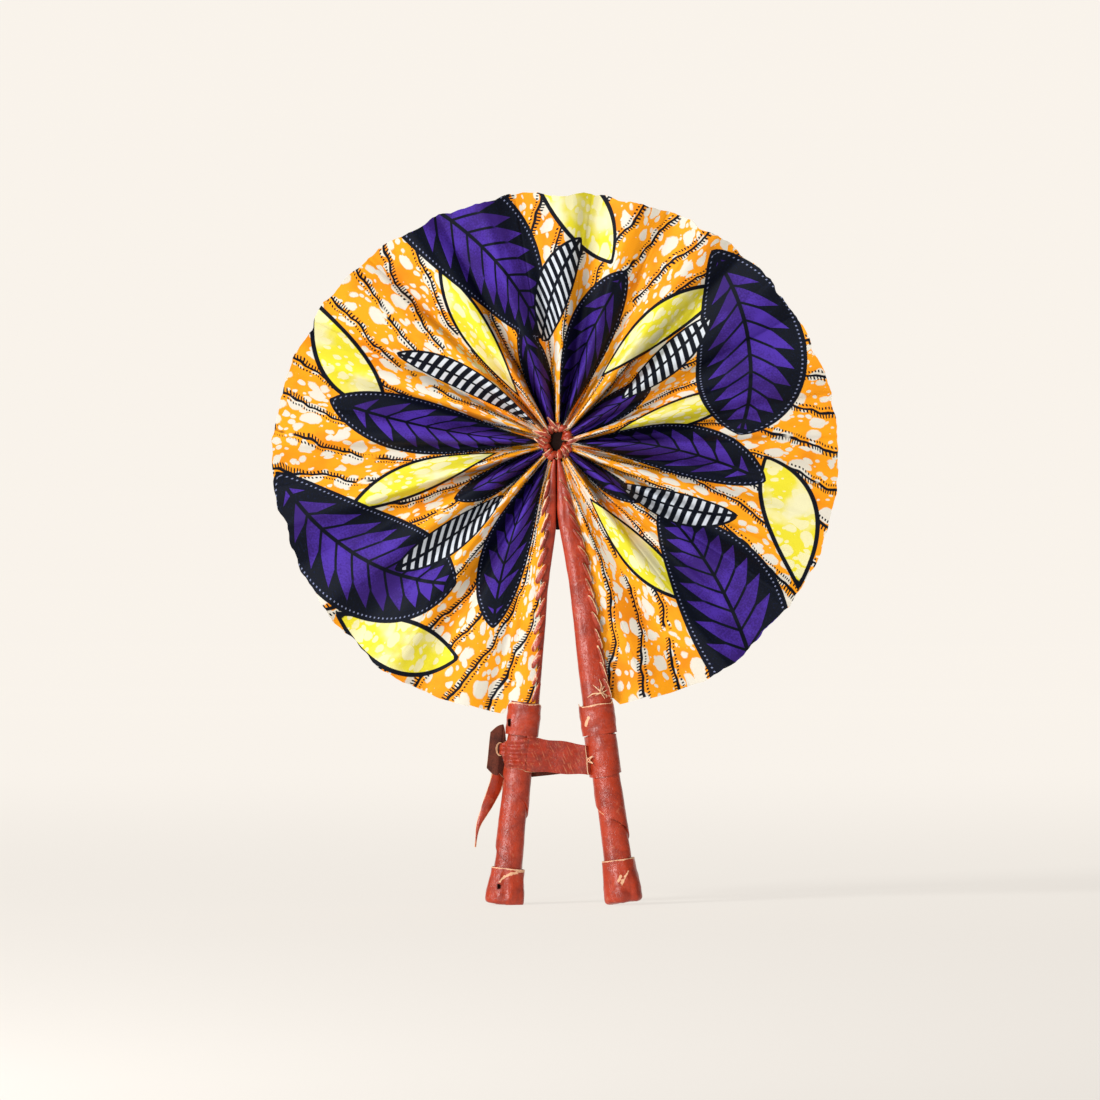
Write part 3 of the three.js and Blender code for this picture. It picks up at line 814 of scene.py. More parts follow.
@dataclass(frozen=True)
class GoatLeather:
    """Thin vegetable-tanned goatskin, dyed and rubbed by hand.

    The dye takes unevenly, the grain is fine and pebbled, folds leave hair creases, grooved in the bump and
    darkened in colour as painted shade, cut edges and scuffs show the paler skin below, and rubbing leaves a
    low, broken shine. The near-black grime colour is real grime where the fine noise is low, and painted
    shade in lapped seams and holes.
    """

    name: str
    light: str
    deep: str
    scuff: str
    # near-black: real grime where the fine noise is low, painted shade in lapped seams and holes
    dirt_and_shade: str = "#120605"
    grain: float = 0.9  # drawn coarser than the real 0.5, so that it shows
    mottle: float = 9.0
    crease: float = 5.5
    rough: float = 0.31
    specular: float = 0.36
    coat: float = 0.34
    scuffed: float = 0.12
    scratched: float = 0.0
    scratch: tuple[float, float] = (0.55, 11.0)  # width and length
    scratch_turn: float = -24.0

    def material(self) -> Material:
        """Builds the leather's material.

        Returns:
            The material.
        """
        b = Board(self.name)
        place = b.add("TexCoord", out=OBJECT_PLACE)
        skin = ("Vector", b.add("VectorMath", place, PER_METRE, operation="MULTIPLY"))
        cloud = b.add("TexNoise", skin, ("Scale", 1 / self.mottle), ("Detail", 6.0), ("Roughness", 0.65))
        fine = b.add("TexNoise", skin, ("Scale", 0.8), ("Detail", 5.0))
        pebble = b.add("TexVoronoi", skin, ("Scale", 1 / self.grain))
        bent = b.add("TexNoise", skin, ("Scale", 1 / self.crease), ("Detail", 5.0), ("Distortion", 1.2))
        hair = b.add("MapRange", b.add("ABSOLUTE", b.add("SUBTRACT", bent, 0.5)), 0.0, 0.022)
        dyed = b.add("Mix", b.add("MapRange", cloud, 0.38, 0.68), self.light, self.deep)
        # the hair creases are pulled halfway to the deep dye: painted shade in the creases
        dyed = b.add("Mix", b.add("MULTIPLY_ADD", hair, 0.5, 0.5), self.deep, dyed)
        # the bare attribute: pale wear above 0, painted shade below 0 in lapped seams and holes
        wear_and_shade = b.add("Attribute", attribute_name="bare", out=2)
        broken = b.add("MULTIPLY_ADD", fine, -0.9, b.add("MULTIPLY_ADD", cloud, -2.2, 1.55))
        lost = b.add("MapRange", b.add("ADD", wear_and_shade, broken), 0.48, 0.66)
        rub = b.add("MapRange", b.add("MULTIPLY_ADD", fine, 0.35, bent), 0.80, 0.88)
        rub = b.add("MULTIPLY", rub, self.scuffed)
        if self.scratched:
            wide, long = self.scratch
            turn = (0.0, math.radians(self.scratch_turn), 0.0)
            hairs = b.add("Mapping", skin, None, turn, (wide, wide, long), vector_type="TEXTURE")
            hairs = b.add("TexNoise", ("Vector", hairs), ("Scale", 1.0), ("Detail", 2.0), ("Distortion", 0.6))
            scratch = b.add("MULTIPLY", b.add("MapRange", hairs, 0.58, 0.68), self.scratched)
            rub = b.add("MAXIMUM", rub, scratch)
        colour = b.add("Mix", b.add("MAXIMUM", lost, rub), dyed, self.scuff)
        # near-black grime where the fine noise is low, and painted shade where the bare attribute is below 0
        dirt_and_shade_share = b.add("MapRange", b.add("MULTIPLY_ADD", fine, 0.9, wear_and_shade), 0.3, -0.4)
        height = b.add("MULTIPLY_ADD", pebble, -0.35, fine)
        height = b.add("MULTIPLY_ADD", hair, 0.7, height)
        height = b.add("MULTIPLY_ADD", cloud, 2.6, height)
        normal = b.add("Bump", ("Strength", 0.24), ("Distance", 0.0004), ("Height", height))
        polish = (self.rough - 0.08, self.rough + 0.12)
        rough = b.add("MapRange", fine, 0.25, 0.75, *polish, interpolation_type="LINEAR")
        sockets = {
            "Base Color": b.add("Mix", dirt_and_shade_share, colour, self.dirt_and_shade),
            "Roughness": b.add("MULTIPLY_ADD", lost, 0.3, rough),
            "Normal": normal,
            "Specular IOR Level": b.add("MULTIPLY_ADD", dirt_and_shade_share, -self.specular, self.specular),
            "Coat Weight": b.add("MULTIPLY_ADD", dirt_and_shade_share, -self.coat, self.coat),
            "Coat Roughness": 0.3,
            "Coat Normal": normal,
        }
        b.add("OutputMaterial", b.add("BsdfPrincipled", *sockets.items()))
        return b.material


@dataclass(frozen=True)
class SplitLeather:
    """Bare leather fibre: the flesh side of a skin, or an edge where a knife went through.

    No grain layer is left on it, so it is dull, slightly furry and streaked.
    """

    name: str
    light: str
    deep: str
    fibre: float = 0.6
    cloud: float = 7.0

    def material(self) -> Material:
        """Builds the fibre's material.

        Returns:
            The material.
        """
        b = Board(self.name)
        place = b.add("TexCoord", out=OBJECT_PLACE)
        skin = ("Vector", b.add("VectorMath", place, PER_METRE, operation="MULTIPLY"))
        nap = b.add("TexNoise", skin, ("Scale", 1 / self.fibre), ("Detail", 4.0))
        cloud = b.add("TexNoise", skin, ("Scale", 1 / self.cloud), ("Detail", 3.0))
        tone = b.add("MULTIPLY_ADD", nap, 0.5, b.add("MULTIPLY", cloud, 0.6))
        sockets = {
            "Base Color": b.add("Mix", b.add("MapRange", tone, 0.42, 0.72), self.light, self.deep),
            "Roughness": b.add("MapRange", nap, 0.2, 0.8, 0.82, 0.95, interpolation_type="LINEAR"),
            "Normal": b.add("Bump", ("Strength", 0.5), ("Distance", 0.0003), ("Height", nap)),
            "Specular IOR Level": 0.25,
            "Sheen Weight": 0.1,
        }
        b.add("OutputMaterial", b.add("BsdfPrincipled", *sockets.items()))
        return b.material


@dataclass(frozen=True)
class PeeledWood:
    """A peeled and dried branch, cut to length: straw-brown, with long grain and a matt face."""

    light: str = "#B98C58"
    deep: str = "#7E552F"
    stretch: tuple[float, float, float] = (1000.0, 1000.0, 60.0)  # millimetres, with the grain drawn out

    def material(self) -> Material:
        """Builds the wood's material.

        Returns:
            The material.
        """
        b = Board("peeled_branch_wood")
        place = b.add("TexCoord", out=OBJECT_PLACE)
        stick = b.add("VectorMath", place, self.stretch, operation="MULTIPLY")
        grain = b.add("TexNoise", ("Vector", stick), ("Scale", 0.8), ("Detail", 5.0))
        sockets = {
            "Base Color": b.add("Mix", b.add("MapRange", grain, 0.35, 0.7), self.light, self.deep),
            "Roughness": b.add("MapRange", grain, 0.2, 0.8, 0.6, 0.8, interpolation_type="LINEAR"),
            "Normal": b.add("Bump", ("Strength", 0.3), ("Distance", 0.0002), ("Height", grain)),
        }
        b.add("OutputMaterial", b.add("BsdfPrincipled", *sockets.items()))
        return b.material


class Finishes:
    """The fan's materials, each built once."""

    def __init__(self) -> None:
        """Builds them."""
        creased = {"crease": 2.6, "mottle": 6.0, "rough": 0.45, "scuffed": 0.3, "scratched": 0.55}
        skins = (
            GoatLeather("rubbed_goat_leather", "#AC3414", "#8A250D", "#DDAA84"),
            GoatLeather("creased_goat_leather", "#A42A0C", "#7E1E08", "#CC7F58", **creased),
            GoatLeather("cut_goat_leather_thong", "#AE391B", "#78210D", "#E2B78E", scuffed=0.5),
            SplitLeather("raw_cut_leather_edge", "#E7C3A0", "#C08F66"),
            SplitLeather("leather_flesh_side", "#6A3324", "#45211A"),
            # near-black flesh side: painted shade for the hub's patch behind the eye and the sticks
            SplitLeather("handled_leather_flesh_side", "#2B1610", "#180B08"),
        )
        self.print = WaxPrint()
        self.cotton = self.print.material()
        built = [skin.material() for skin in skins]
        self.leather, self.creased, self.thong, self.edge, self.flesh, self.painted_shade_flesh = built
        self.hide = (self.leather, self.edge)
        self.wood = PeeledWood().material()


# The object's pieces.


class Side(IntEnum):
    """The two sticks, by the way each lies from the middle."""

    LEFT = -1
    RIGHT = 1


@dataclass
class Stick:
    """One stick: its sheath under the leaf, collar, wound grip, butt cap and the lacing on its sheath."""

    side: Side
    lean: float
    hem: float
    seam: float  # station of the wound grip's lower edge, at the start of a turn
    finishes: Finishes
    hub_height: float
    offset: float = 2.1
    squareness: float = 2.5
    rib_tip: float = 10.5
    tuck: float = 1.7  # how far the sheath's leather goes up under the hub's whipping
    rib_end: float = 141.0
    rib_widths: tuple[float, float] = (6.6, 15.0)
    rib_depths: tuple[float, float] = (3.0, 9.0)
    hem_clearance: float = 0.9
    mid_clearance: float = 0.2
    lap: float = 2.2  # how far the sheath's leather stands in past the rib, at its top
    lap_fades: tuple[float, float] = (34.0, 80.0)
    sheath_leather: float = 0.6
    grip_half: float = 7.3
    grip_depth: float = 5.5
    grip_leather: float = 0.75
    wrap_pitch: float = 38.0
    wrap_lap: float = 1.07  # width of the wound strip, in turns
    collar_top: float = 139.5
    collar_length: float = 16.5
    collar_turn: float = 395.0
    collar_leather: float = 0.9
    cap_top: float = 223.0
    cap_half: float = 8.8
    cap_end_half: float = 10.25
    cap_end_depth: float = 7.5
    cap_leather: float = 1.0
    butt_end: float = 246.0
    lace_top: float = 20.0
    lace_stitches: int = 13
    lace_width: float = 2.4
    lace_slant: float = 3.4  # how far a stitch runs across
    lace_arch: float = 1.3  # how far a stitch stands off the sheath
    lace_shown: float = 0.66  # share of a stitch that shows
    lace_leather: float = 0.6
    left_row: tuple[float, float] = (3.0, -3.3)  # the left row's place across, at its top and its foot
    cap_marks: Sequence[Mark] = ()
    collar_marks: Sequence[Mark] = ()
    seam_marks: Sequence[tuple[float, float, float]] = ()  # from and to as shares of a turn, and how bare; below 0 it is painted shade along the lapped edge
    knot: Sequence[Line] = ()  # loose thong ends, across and down the stick

    @property
    def name(self) -> str:
        """The word that the stick's names start with."""
        return self.side.name.lower()

    def place(self) -> Matrix:
        """Gives the move that takes an upright stick to its lean under the hub."""
        up = Matrix.Translation((0, 0, self.hub_height * MM))
        return up @ Matrix.Rotation(math.radians(-self.side * self.lean), 4, "Y")

    def slope(self) -> float:
        """Gives how far the stick leans out for each millimetre down."""
        return math.tan(math.radians(self.lean))

    def rib(self, s: Array) -> Three:
        """Measures the sheathed rib.

        Args:
            s: Stations down from the hub.

        Returns:
            The section's middle, half width and half depth.
        """
        share = np.clip((s - self.rib_tip) / (self.rib_end - self.rib_tip), 0, None)
        half = mixed(*self.rib_widths, share**0.75) / 2
        outer = np.minimum(self.offset + half, self.hem_line(s) - self.hem_clearance)
        inner = np.maximum(self.offset - half, self.mid_clearance - s * self.slope())
        return (outer + inner) / 2, (outer - inner) / 2, mixed(*self.rib_depths, share) / 2

    def hem_line(self, s: Array) -> Array:
        """Gives the hem crease's place across the stick."""
        return s * math.tan(math.radians(self.hem - self.lean))

    def cover(self, s: Array) -> Three:
        """Measures the sheath's leather, which stands out past the rib under the stitches.

        Args:
            s: Stations down from the hub.

        Returns:
            The section's middle, half width and half depth.
        """
        middle, half, depth = self.rib(s)
        outer, inner = middle + half, middle - half
        past = outer + 0.7 if self.side is Side.RIGHT else self.lace_row(s) + 1.2
        outer = np.maximum(outer, np.minimum(past, self.hem_line(s) - 0.25))
        lapped = inner - self.lap * (1 - blend_in(*self.lap_fades, s))
        inner = np.maximum(lapped, self.mid_clearance + 0.1 - s * self.slope())
        return (outer + inner) / 2, (outer - inner) / 2, depth

    def front(self, u: Array, s: Array) -> Array:
        """Finds the sheath's front face.

        Args:
            u: Places across the stick.
            s: Stations down from the hub.

        Returns:
            Its depth there.
        """
        middle, half, depth = self.cover(s)
        x = np.clip(np.abs(u - middle) / half, 0, 1)
        return -depth * (1 - x**self.squareness) ** (1 / self.squareness)

    def skin(self, degrees: Array, by: Array, half: float, depth: float) -> tuple[Array, Array]:
        """Walks round a section.

        Args:
            degrees: 0 at the outer edge, 90 at the front.
            by: How far outside the section.
            half: The section's half width.
            depth: The section's half depth.

        Returns:
            Places across the stick and in depth.
        """
        a = np.radians(degrees)
        x, y = np.cos(a), np.sin(a)
        power = 2 / self.squareness
        u = self.offset + (half + by) * np.sign(x) * np.abs(x) ** power
        return u, -(depth + by) * np.sign(y) * np.abs(y) ** power

    def upright(self, u: Array, y: Array, s: Array) -> Array:
        """Puts places across, in depth and down the stick together as points of an upright stick."""
        return np.stack([self.side * u, y + 0 * u, -s + 0 * u], axis=1)

    def lace_row(self, s: Array) -> Array:
        """Finds the middle of the row of stitches.

        Args:
            s: Stations down from the hub.

        Returns:
            Its places across the stick.
        """
        if self.side is Side.LEFT:
            return mixed(*self.left_row, (s - self.lace_top) / (self.collar_top - self.lace_top))
        middle, half, _ = self.rib(s)
        return np.minimum(middle + half, self.hem_line(s) - self.hem_clearance) - 1.0

    def finish(self, piece: Piece, slot: str, *nodes: str, smooth: float = 40.0) -> None:
        """Leans a finished piece into place and hands it over for the stick's nodes of these names."""
        settle(piece, self.place())
        hand_over(piece, f"{self.name}_handle", slot, *[f"{self.name}_{n}" for n in nodes], smooth=smooth)

    def build(self) -> None:
        """Makes every piece of the stick."""
        self.build_sheath()
        self.build_collar()
        self.build_grip()
        self.build_cap()
        self.build_lacing()
        for k, line in enumerate(self.knot):
            self.build_wisp(k, line)

    def build_wisp(self, k: int, line: Line) -> None:
        """A thin, raw end of thong that lies on the sheath.

        Args:
            k: Its number in the knot.
            line: Its places across and down the stick.
        """
        count = 30
        u, s = spline(line, count).T
        ends = np.sin(np.linspace(0, math.pi, count))
        centres = self.upright(u, self.front(u, s) - 0.45 - 0.3 * k - 0.5 * ends, s)
        piece = lay_ribbon(f"{self.name}_thong_end_{k}", centres, FRONT, 0.2 + 0.5 * ends, columns=3)
        clad(piece, 0.35, self.finishes.thong)
        self.finish(piece, "thong")

    def build_sheath(self) -> None:
        """Thin leather folded round the rib, a little uneven."""
        top = self.rib_tip - self.tuck
        stations = top + (self.rib_end - top) * np.linspace(0, 1, 30) ** 1.3
        rings = [Ring(s, self.side * m, h, d) for s, m, h, d in zip(stations, *self.cover(stations))]
        piece = raise_sleeve(f"{self.name}_sheath_leather", rings, self.squareness)
        soften(piece)
        puckers = ((0.35, (5, 5, 16), 3.1 * self.side), (0.15, (2.2, 2.2, 5), 7.7 * self.side))
        clad(piece, self.sheath_leather, *self.finishes.hide, puckers=puckers, offset=-1)
        self.finish(piece, "leather", "rib_sheath")

    def build_collar(self) -> None:
        """A strip of leather wound once round the end of the sheath, its own end lapped over its start."""
        half = max(self.grip_half, float(self.rib(np.array([self.rib_end]))[1][0]) + 0.3) + 0.25
        depth = self.grip_depth + 0.25
        start = 215.0 if self.side is Side.LEFT else 150.0
        piece, across, along = lay_grid(f"{self.name}_collar_leather", 34, 110)
        by = 0.55 + 0.95 * blend_in(0.82, 0.95, along)
        u, y = self.skin(start + self.collar_turn * along, by, half, depth)
        ragged = ripple(along, (0.8, 9.0, self.side), (0.5, 23.0, 0.0))
        s = self.collar_top + ragged * (1 - across) + across * self.collar_length
        set_points(piece, self.upright(u, y, s) * MM)
        bare(piece, across * self.collar_length, 1.3)
        bare(piece, (1 - along) * 55, 0.8)
        for mark in self.collar_marks:
            mark.put_on(piece)
        puckers = ((0.4, (6, 6, 4), 11.3 * self.side),)
        clad(piece, self.collar_leather, *self.finishes.hide, puckers=puckers)
        self.finish(piece, "leather", "collar")

    def build_grip(self) -> None:
        """One long strip wound down the handle, each turn's lower edge lapped over the next turn."""
        start = 0.0 if self.side is Side.LEFT else 180.0
        first = (self.collar_top - self.seam) / self.wrap_pitch - 1.4
        last = (self.butt_end - self.seam) / self.wrap_pitch + 1.0
        piece, across, along = lay_grid(f"{self.name}_grip_leather", 60, 300)
        turns = mixed(first, last, along)
        by = mixed(-0.75, 0.15, across)
        u, y = self.skin(start + -self.side * 360 * turns, by, self.grip_half, self.grip_depth)
        wander = ripple(turns, (0.8, 4.1, self.side)) * blend_in(0.8, 1.0, across)
        s = self.seam + self.wrap_pitch * (turns + self.wrap_lap * (across - 1)) + wander
        set_points(piece, self.upright(u, y, s) * MM)
        turn = (turns + 0.25) % 1 - 0.25
        # along each turn's lapped edge: pale wear where a mark is above 0, painted shade where it is below 0
        for begin, end, most in self.seam_marks:
            shown = blend_in(begin - 0.04, begin + 0.04, turn) * (1 - blend_in(end - 0.04, end + 0.04, turn))
            bare(piece, (1 - across) * self.wrap_pitch, 0.8, most * shown)
        pucker(piece, 0.3, (7, 7, 14), 17.9 * self.side)
        pucker(piece, 0.12, (2.5, 2.5, 4), 5.3 * self.side)
        cut_off(piece, self.rib_end + 1.5, above=True)
        cut_off(piece, self.butt_end - 6, above=False)
        clad(piece, self.grip_leather, self.finishes.leather)
        self.finish(piece, "leather", "grip_wrap")

    def build_cap(self) -> None:
        """A cup of leather drawn over the handle's end, flared and gathered."""
        share = np.linspace(0, 1, 9)
        flare = blend_in(0.1, 0.9, share)
        half = mixed(self.cap_half, self.cap_end_half, flare)
        depth = mixed(self.grip_depth + 1.5, self.cap_end_depth, flare)
        stations = mixed(self.cap_top, self.butt_end - 1.6, share)
        rings = [Ring(s, self.side * self.offset, h, d) for s, h, d in zip(stations, half, depth)]
        last = rings[-1]
        for drop, draw in ((0.9, 0.4), (1.6, 1.7)):
            rings.append(Ring(last.station + drop, last.middle, last.half - draw, last.depth - draw))
        piece = raise_sleeve(f"{self.name}_cap_leather", rings, self.squareness, floor=(0.6, 0.5, 0.3))
        soften(piece)
        pucker(piece, 0.7, (5, 5, 14), 23.7 * self.side)
        pucker(piece, 0.25, (2.2, 2.2, 3.5), 2.9 * self.side)
        bare(piece, -points_of(piece)[:, 2] / MM - self.cap_top, 1.2)
        for mark in self.cap_marks:
            mark.put_on(piece)
        clad(piece, self.cap_leather, *self.finishes.hide, offset=-1)
        self.finish(piece, "leather", "butt_cap")

    def build_lacing(self) -> None:
        """One flat thong that shows as slanting stitches and dips out of sight between them."""
        steps, shown = 24, self.lace_shown
        pitch = (self.collar_top - 3 - self.lace_top) / self.lace_stitches
        t = np.linspace(0, self.lace_stitches, self.lace_stitches * steps + 1)
        stitch = np.floor(t)
        beat = t - stitch
        odd, even = np.sin(stitch * 12.9 + self.side), np.sin(stitch * 7.7 + 2 + self.side)
        over = blend_in(0, 0.62, beat) - blend_in(0.70, 1.0, beat)
        run = 1.12 * blend_in(0, shown, beat) - 0.12 * blend_in(shown, 1, beat)
        s = self.lace_top + pitch * (stitch + run)
        slant = self.lace_slant + 1.0 * odd
        u = self.lace_row(s) + slant * (over - 0.5) + 0.45 * even * np.sin(beat * math.pi)
        arch = np.sin(np.clip(beat / shown, 0, 1) * math.pi)
        width = self.lace_width * (1 + 0.28 * even) * (0.25 + 0.75 * arch**0.8)
        width = width * mixed(0.6, 1, blend_in(25, 80, s))
        u = np.minimum(u, self.hem_line(s) - 0.2 - width / 2)
        dip = 1.2 * (beat > shown) * np.sin((beat - shown) / (1 - shown) * math.pi)
        y = self.front(u, s) - 0.2 - self.lace_arch * (1 + 0.2 * even) * arch**0.6 + dip
        out = FRONT + np.outer(0.35 * odd, [self.side, 0.0, 0.0])
        edges = (0.0, 0.8) if self.side is Side.LEFT else (0.8, 0.0)
        strip = {"crown": 0.35, "columns": 10, "edges": edges}
        piece = lay_ribbon(f"{self.name}_lacing_thong", self.upright(u, y, s), out, width, **strip)
        clad(piece, self.lace_leather, self.finishes.thong, even=False)
        self.finish(piece, "thong", "lacing", smooth=55)


@dataclass
class Leaf:
    """The pleated leaf: a piece of cloth to each facet, from crease to crease."""

    frame: dict[str, Any]
    finishes: Finishes
    left: Stick
    right: Stick
    rim_radius: float = 151.3
    crown_drop: float = 19.0
    stick_drops: tuple[float, float] = (5.0, 8.7)
    drop_spread: float = 50.0
    cuts: tuple[tuple[float, float], ...] = ((2.6, 7.0), (1.6, 19.0), (0.5, 60.0))  # the rim's wander
    eye: float = 8.4
    cloth: float = 0.4
    flat_scale: float = 140.0  # radius at which the flat cloth is as wide as the leaf
    gather_depth: float = 7.3
    gather_radius: float = 34.0
    gather_steepness: float = 1.5
    roundness: float = 0.6  # share of each ridge that is rounded rather than sharp
    spacing: float = 1.15  # exponent that sets the cloth's cells closer near the hub
    columns: int = 16
    end_columns: int = 24
    rows: int = 72
    flattened: float = 0.02  # share of its puffs and gathers that a pleat keeps when the fan is folded
    crease_reach: float = 0.7  # how far to each side of a hem the cloth bends
    creases: list[Vector] = field(default_factory=list)
    around: list[float] = field(default_factory=list)
    hub: Vector = field(init=False)
    rise: float = field(init=False)
    step: float = field(init=False)

    def __post_init__(self) -> None:
        """Reads the creases from the frame's hinges, each as an angle round the hub from straight down."""
        lines = [Vector(j["axis"]) for j in self.frame["joints"]]
        self.hub = Vector(self.frame["joints"][0]["pos_m"])
        for k, line in enumerate(lines):
            low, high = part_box(f"leaf_{min(k, len(lines) - 2):02d}")
            if line.dot((low + high) / 2 - self.hub) < 0:
                line.negate()
            self.creases.append(line)
            self.around.append(math.atan2(-line.x, -line.z) % (2 * math.pi))
        self.rise = math.asin(-lines[1].y)
        self.step = self.around[2] - self.around[1]

    def rim(self, psi: Array) -> Array:
        """Measures the leaf.

        Args:
            psi: Angles round the hub.

        Returns:
            Its radius there.
        """
        spread = math.radians(self.drop_spread)
        away = (psi - self.around[0], self.around[-1] - psi)
        drawn = [d * np.clip(1 - off / spread, 0, 1) ** 2 for d, off in zip(self.stick_drops, away)]
        return self.rim_radius - self.crown_drop * ((1 - np.cos(psi)) / 2) ** 3 - sum(drawn)

    def ragged(self, psi: Array) -> Array:
        """Gives how far the hand-cut rim wanders in and out, fading to nothing at the sticks.

        Args:
            psi: Angles round the hub.

        Returns:
            Steps outwards.
        """
        free = blend_in(0.05, 0.4, psi - self.around[0]) * blend_in(0.05, 0.4, self.around[-1] - psi)
        wander = 0
        for size, pace in self.cuts:
            wander = wander + size * np.array([noise.noise(Vector((p * pace, 0.3, 4.4))) for p in psi])
        return wander * free

    def wave(self, r: Array, psi: Array) -> Array:
        """Gives the depth of the pleated cloth, towards the viewer negative.

        Args:
            r: Radii from the hub.
            psi: Angles round the hub.

        Returns:
            Depths: ridges on the creases at the rim, deep gathers beside them near the hub.
        """
        from_left, from_right = psi - self.around[0], self.around[-1] - psi
        phase = math.pi * (psi - self.around[1]) / self.step
        phase = phase + ripple(psi, (0.16, 5, 1.0)) * blend_in(0.0, 0.5, from_left)
        sharp = 2 / math.pi * np.arcsin(np.cos(phase))
        ridge = mixed(sharp, np.cos(phase), self.roundness)
        swell = 1 + ripple(psi, (0.16, 7, 0.6), (0.10, 13, 2))
        ridge = ridge * r * math.tan(self.rise) * swell
        x = r / self.gather_radius
        depth = self.gather_depth * x * np.exp(1 - x) * (1 + ripple(psi, (0.30, 9, 4), (0.15, 17, 0)))
        depth = depth * blend_in(self.eye - 4, self.eye + 12, r)
        lopsided = np.sin(phase) + ripple(psi, (0.32, 4, 2)) * np.sin(2 * phase)
        tube = np.tanh(self.gather_steepness * lopsided) / math.tanh(self.gather_steepness)
        free = blend_in(0, 2 * self.step, from_left) * blend_in(0, 3 * self.step, from_right)
        fine = 0
        for size, pace, length, seed, fade in ((0.9, 26, 34, 1.7, (30, 90)), (0.35, 70, 60, 8.2, (10, 40))):
            rucks = [noise.noise(Vector((a * pace, d / length, seed))) for a, d in zip(psi, r)]
            fine = fine + size * np.array(rucks) * blend_in(*fade, r)
        return -(ridge + depth * free * tube) + fine * free

    def point(self, r: Array, psi: Array, y: Array) -> Array:
        """Puts radii, angles and depths together as points, in millimetres."""
        flat = np.sqrt(np.maximum(r**2 - y**2, 1))
        return np.stack([-flat * np.sin(psi), y, self.hub.z / MM - flat * np.cos(psi)], axis=1)

    def build(self) -> None:
        """Makes every piece of the leaf."""
        last = len(self.around) - 2
        for k in range(last + 1):
            self.build_pleat(k, last)

    def build_pleat(self, k: int, last: int) -> None:
        """Makes the cloth between crease k and the next one.

        Args:
            k: The facet, 0 at the left stick.
            last: The facet at the right stick.
        """
        lay = {0: self.lay_left, last: self.lay_right}.get(k)
        columns = self.columns if lay is None else self.end_columns
        piece, a, b = lay_grid(f"leaf_pleat_{k:02d}", columns, self.rows)
        if lay is not None:
            r, psi, y = lay(a, b)
        else:
            psi = mixed(self.around[k], self.around[k + 1], (1 - np.cos(math.pi * a)) / 2)
            r = mixed(self.eye, self.rim(psi) + self.ragged(psi), b**self.spacing)
            y = self.wave(r, psi)
        set_points(piece, self.point(r, psi, y) * MM)
        along, out = (psi - self.around[0]) * self.flat_scale, r - self.eye
        self.finishes.print.print_on(piece, along, out)
        uv = piece.data.uv_layers.active
        uv.name = "cut"
        corner = np.empty(len(piece.data.loops), int)
        piece.data.loops.foreach_get("vertex_index", corner)
        flat = np.stack([along[corner], out[corner]], axis=1) * MM
        uv.data.foreach_set("uv", flat.astype(np.float32).ravel())
        clad(piece, self.cloth, self.finishes.cotton)
        selvedge = {0: ["left_selvedge"], last: ["right_selvedge"]}.get(k, [])
        hand_over(piece, None, "cotton", f"leaf_{k:02d}", *selvedge, smooth=60)
        if k == 0:
            self.bend(piece, 0, "left_handle", "pleat_00")
        elif k == last:
            self.bend(piece, last + 1, f"pleat_{last:02d}", "right_handle")
        else:
            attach(piece, f"pleat_{k:02d}")
            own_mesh(piece)

    def bend(self, piece: Piece, k: int, before: str, after: str) -> None:
        """Writes a piece's place into its mesh, for a piece at a crease; it stays untied to either body.

        Args:
            piece: The piece.
            k: The crease; not used.
            before: The body before it; not used.
            after: The body after it; not used.
        """
        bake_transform(piece)

    def lay_left(self, a: Array, b: Array) -> Three:
        """Lays the left edge: over the front of the left sheath, then on to the first half facet.

        Args:
            a: Shares across the piece, from the lacing.
            b: Shares out from the hub.

        Returns:
            Radii, angles and depths.
        """
        stick, hem = self.left, self.around[0]
        on_stick = 0.62
        reach = mixed(stick.collar_top - 1.0, self.rim(np.full_like(a, hem)), blend_in(0.385, 0.42, a))
        r = mixed(self.eye + 2, reach, b**self.spacing)
        lean = math.radians(stick.lean)
        lace = lean + np.arcsin(np.clip(stick.lace_row(r) / r, -0.9, 0.9))
        lace = np.minimum(lace, hem - 0.3 / r)
        psi = np.where(
            a < on_stick,
            mixed(lace, hem, a / on_stick),
            mixed(hem, self.around[1], np.sin(math.pi / 2 * (a - on_stick) / (1 - on_stick))),
        )
        u, s = r * np.sin(psi - lean), r * np.cos(psi - lean)
        over = stick.front(u, s) - 0.75
        resting = over * blend_in(0.0, 2.2, (hem - psi) * r)
        return r, psi, np.where(psi < hem, resting, self.wave(r, psi))

    def lay_right(self, a: Array, b: Array) -> Three:
        """Lays the right edge: the last half facet, then the strip tucked against the right sheath.

        Args:
            a: Shares across the piece, towards the stick.
            b: Shares out from the hub.

        Returns:
            Radii, angles and depths.
        """
        stick, hem = self.right, self.around[-1]
        on_leaf = 0.75
        reach = mixed(self.rim(np.full_like(a, hem)), stick.collar_top - 1.0, blend_in(0.88, 0.95, a))
        r = mixed(self.eye + 2, reach, b**self.spacing)
        middle, half, _ = stick.rib(r)
        edge = np.minimum(middle + half + 0.15, stick.hem_line(r) - 0.1)
        tuck = 2 * math.pi - math.radians(stick.lean) - np.arcsin(np.clip(edge / r, -0.9, 0.9))
        psi = np.where(
            a < on_leaf,
            mixed(self.around[-2], hem, 1 - np.cos(math.pi / 2 * np.minimum(a / on_leaf, 1))),
            mixed(hem, tuck, (a - on_leaf) / (1 - on_leaf)),
        )
        return r, psi, np.where(psi > hem, 0.5 * blend_in(0, 2, (psi - hem) * r), self.wave(r, psi))


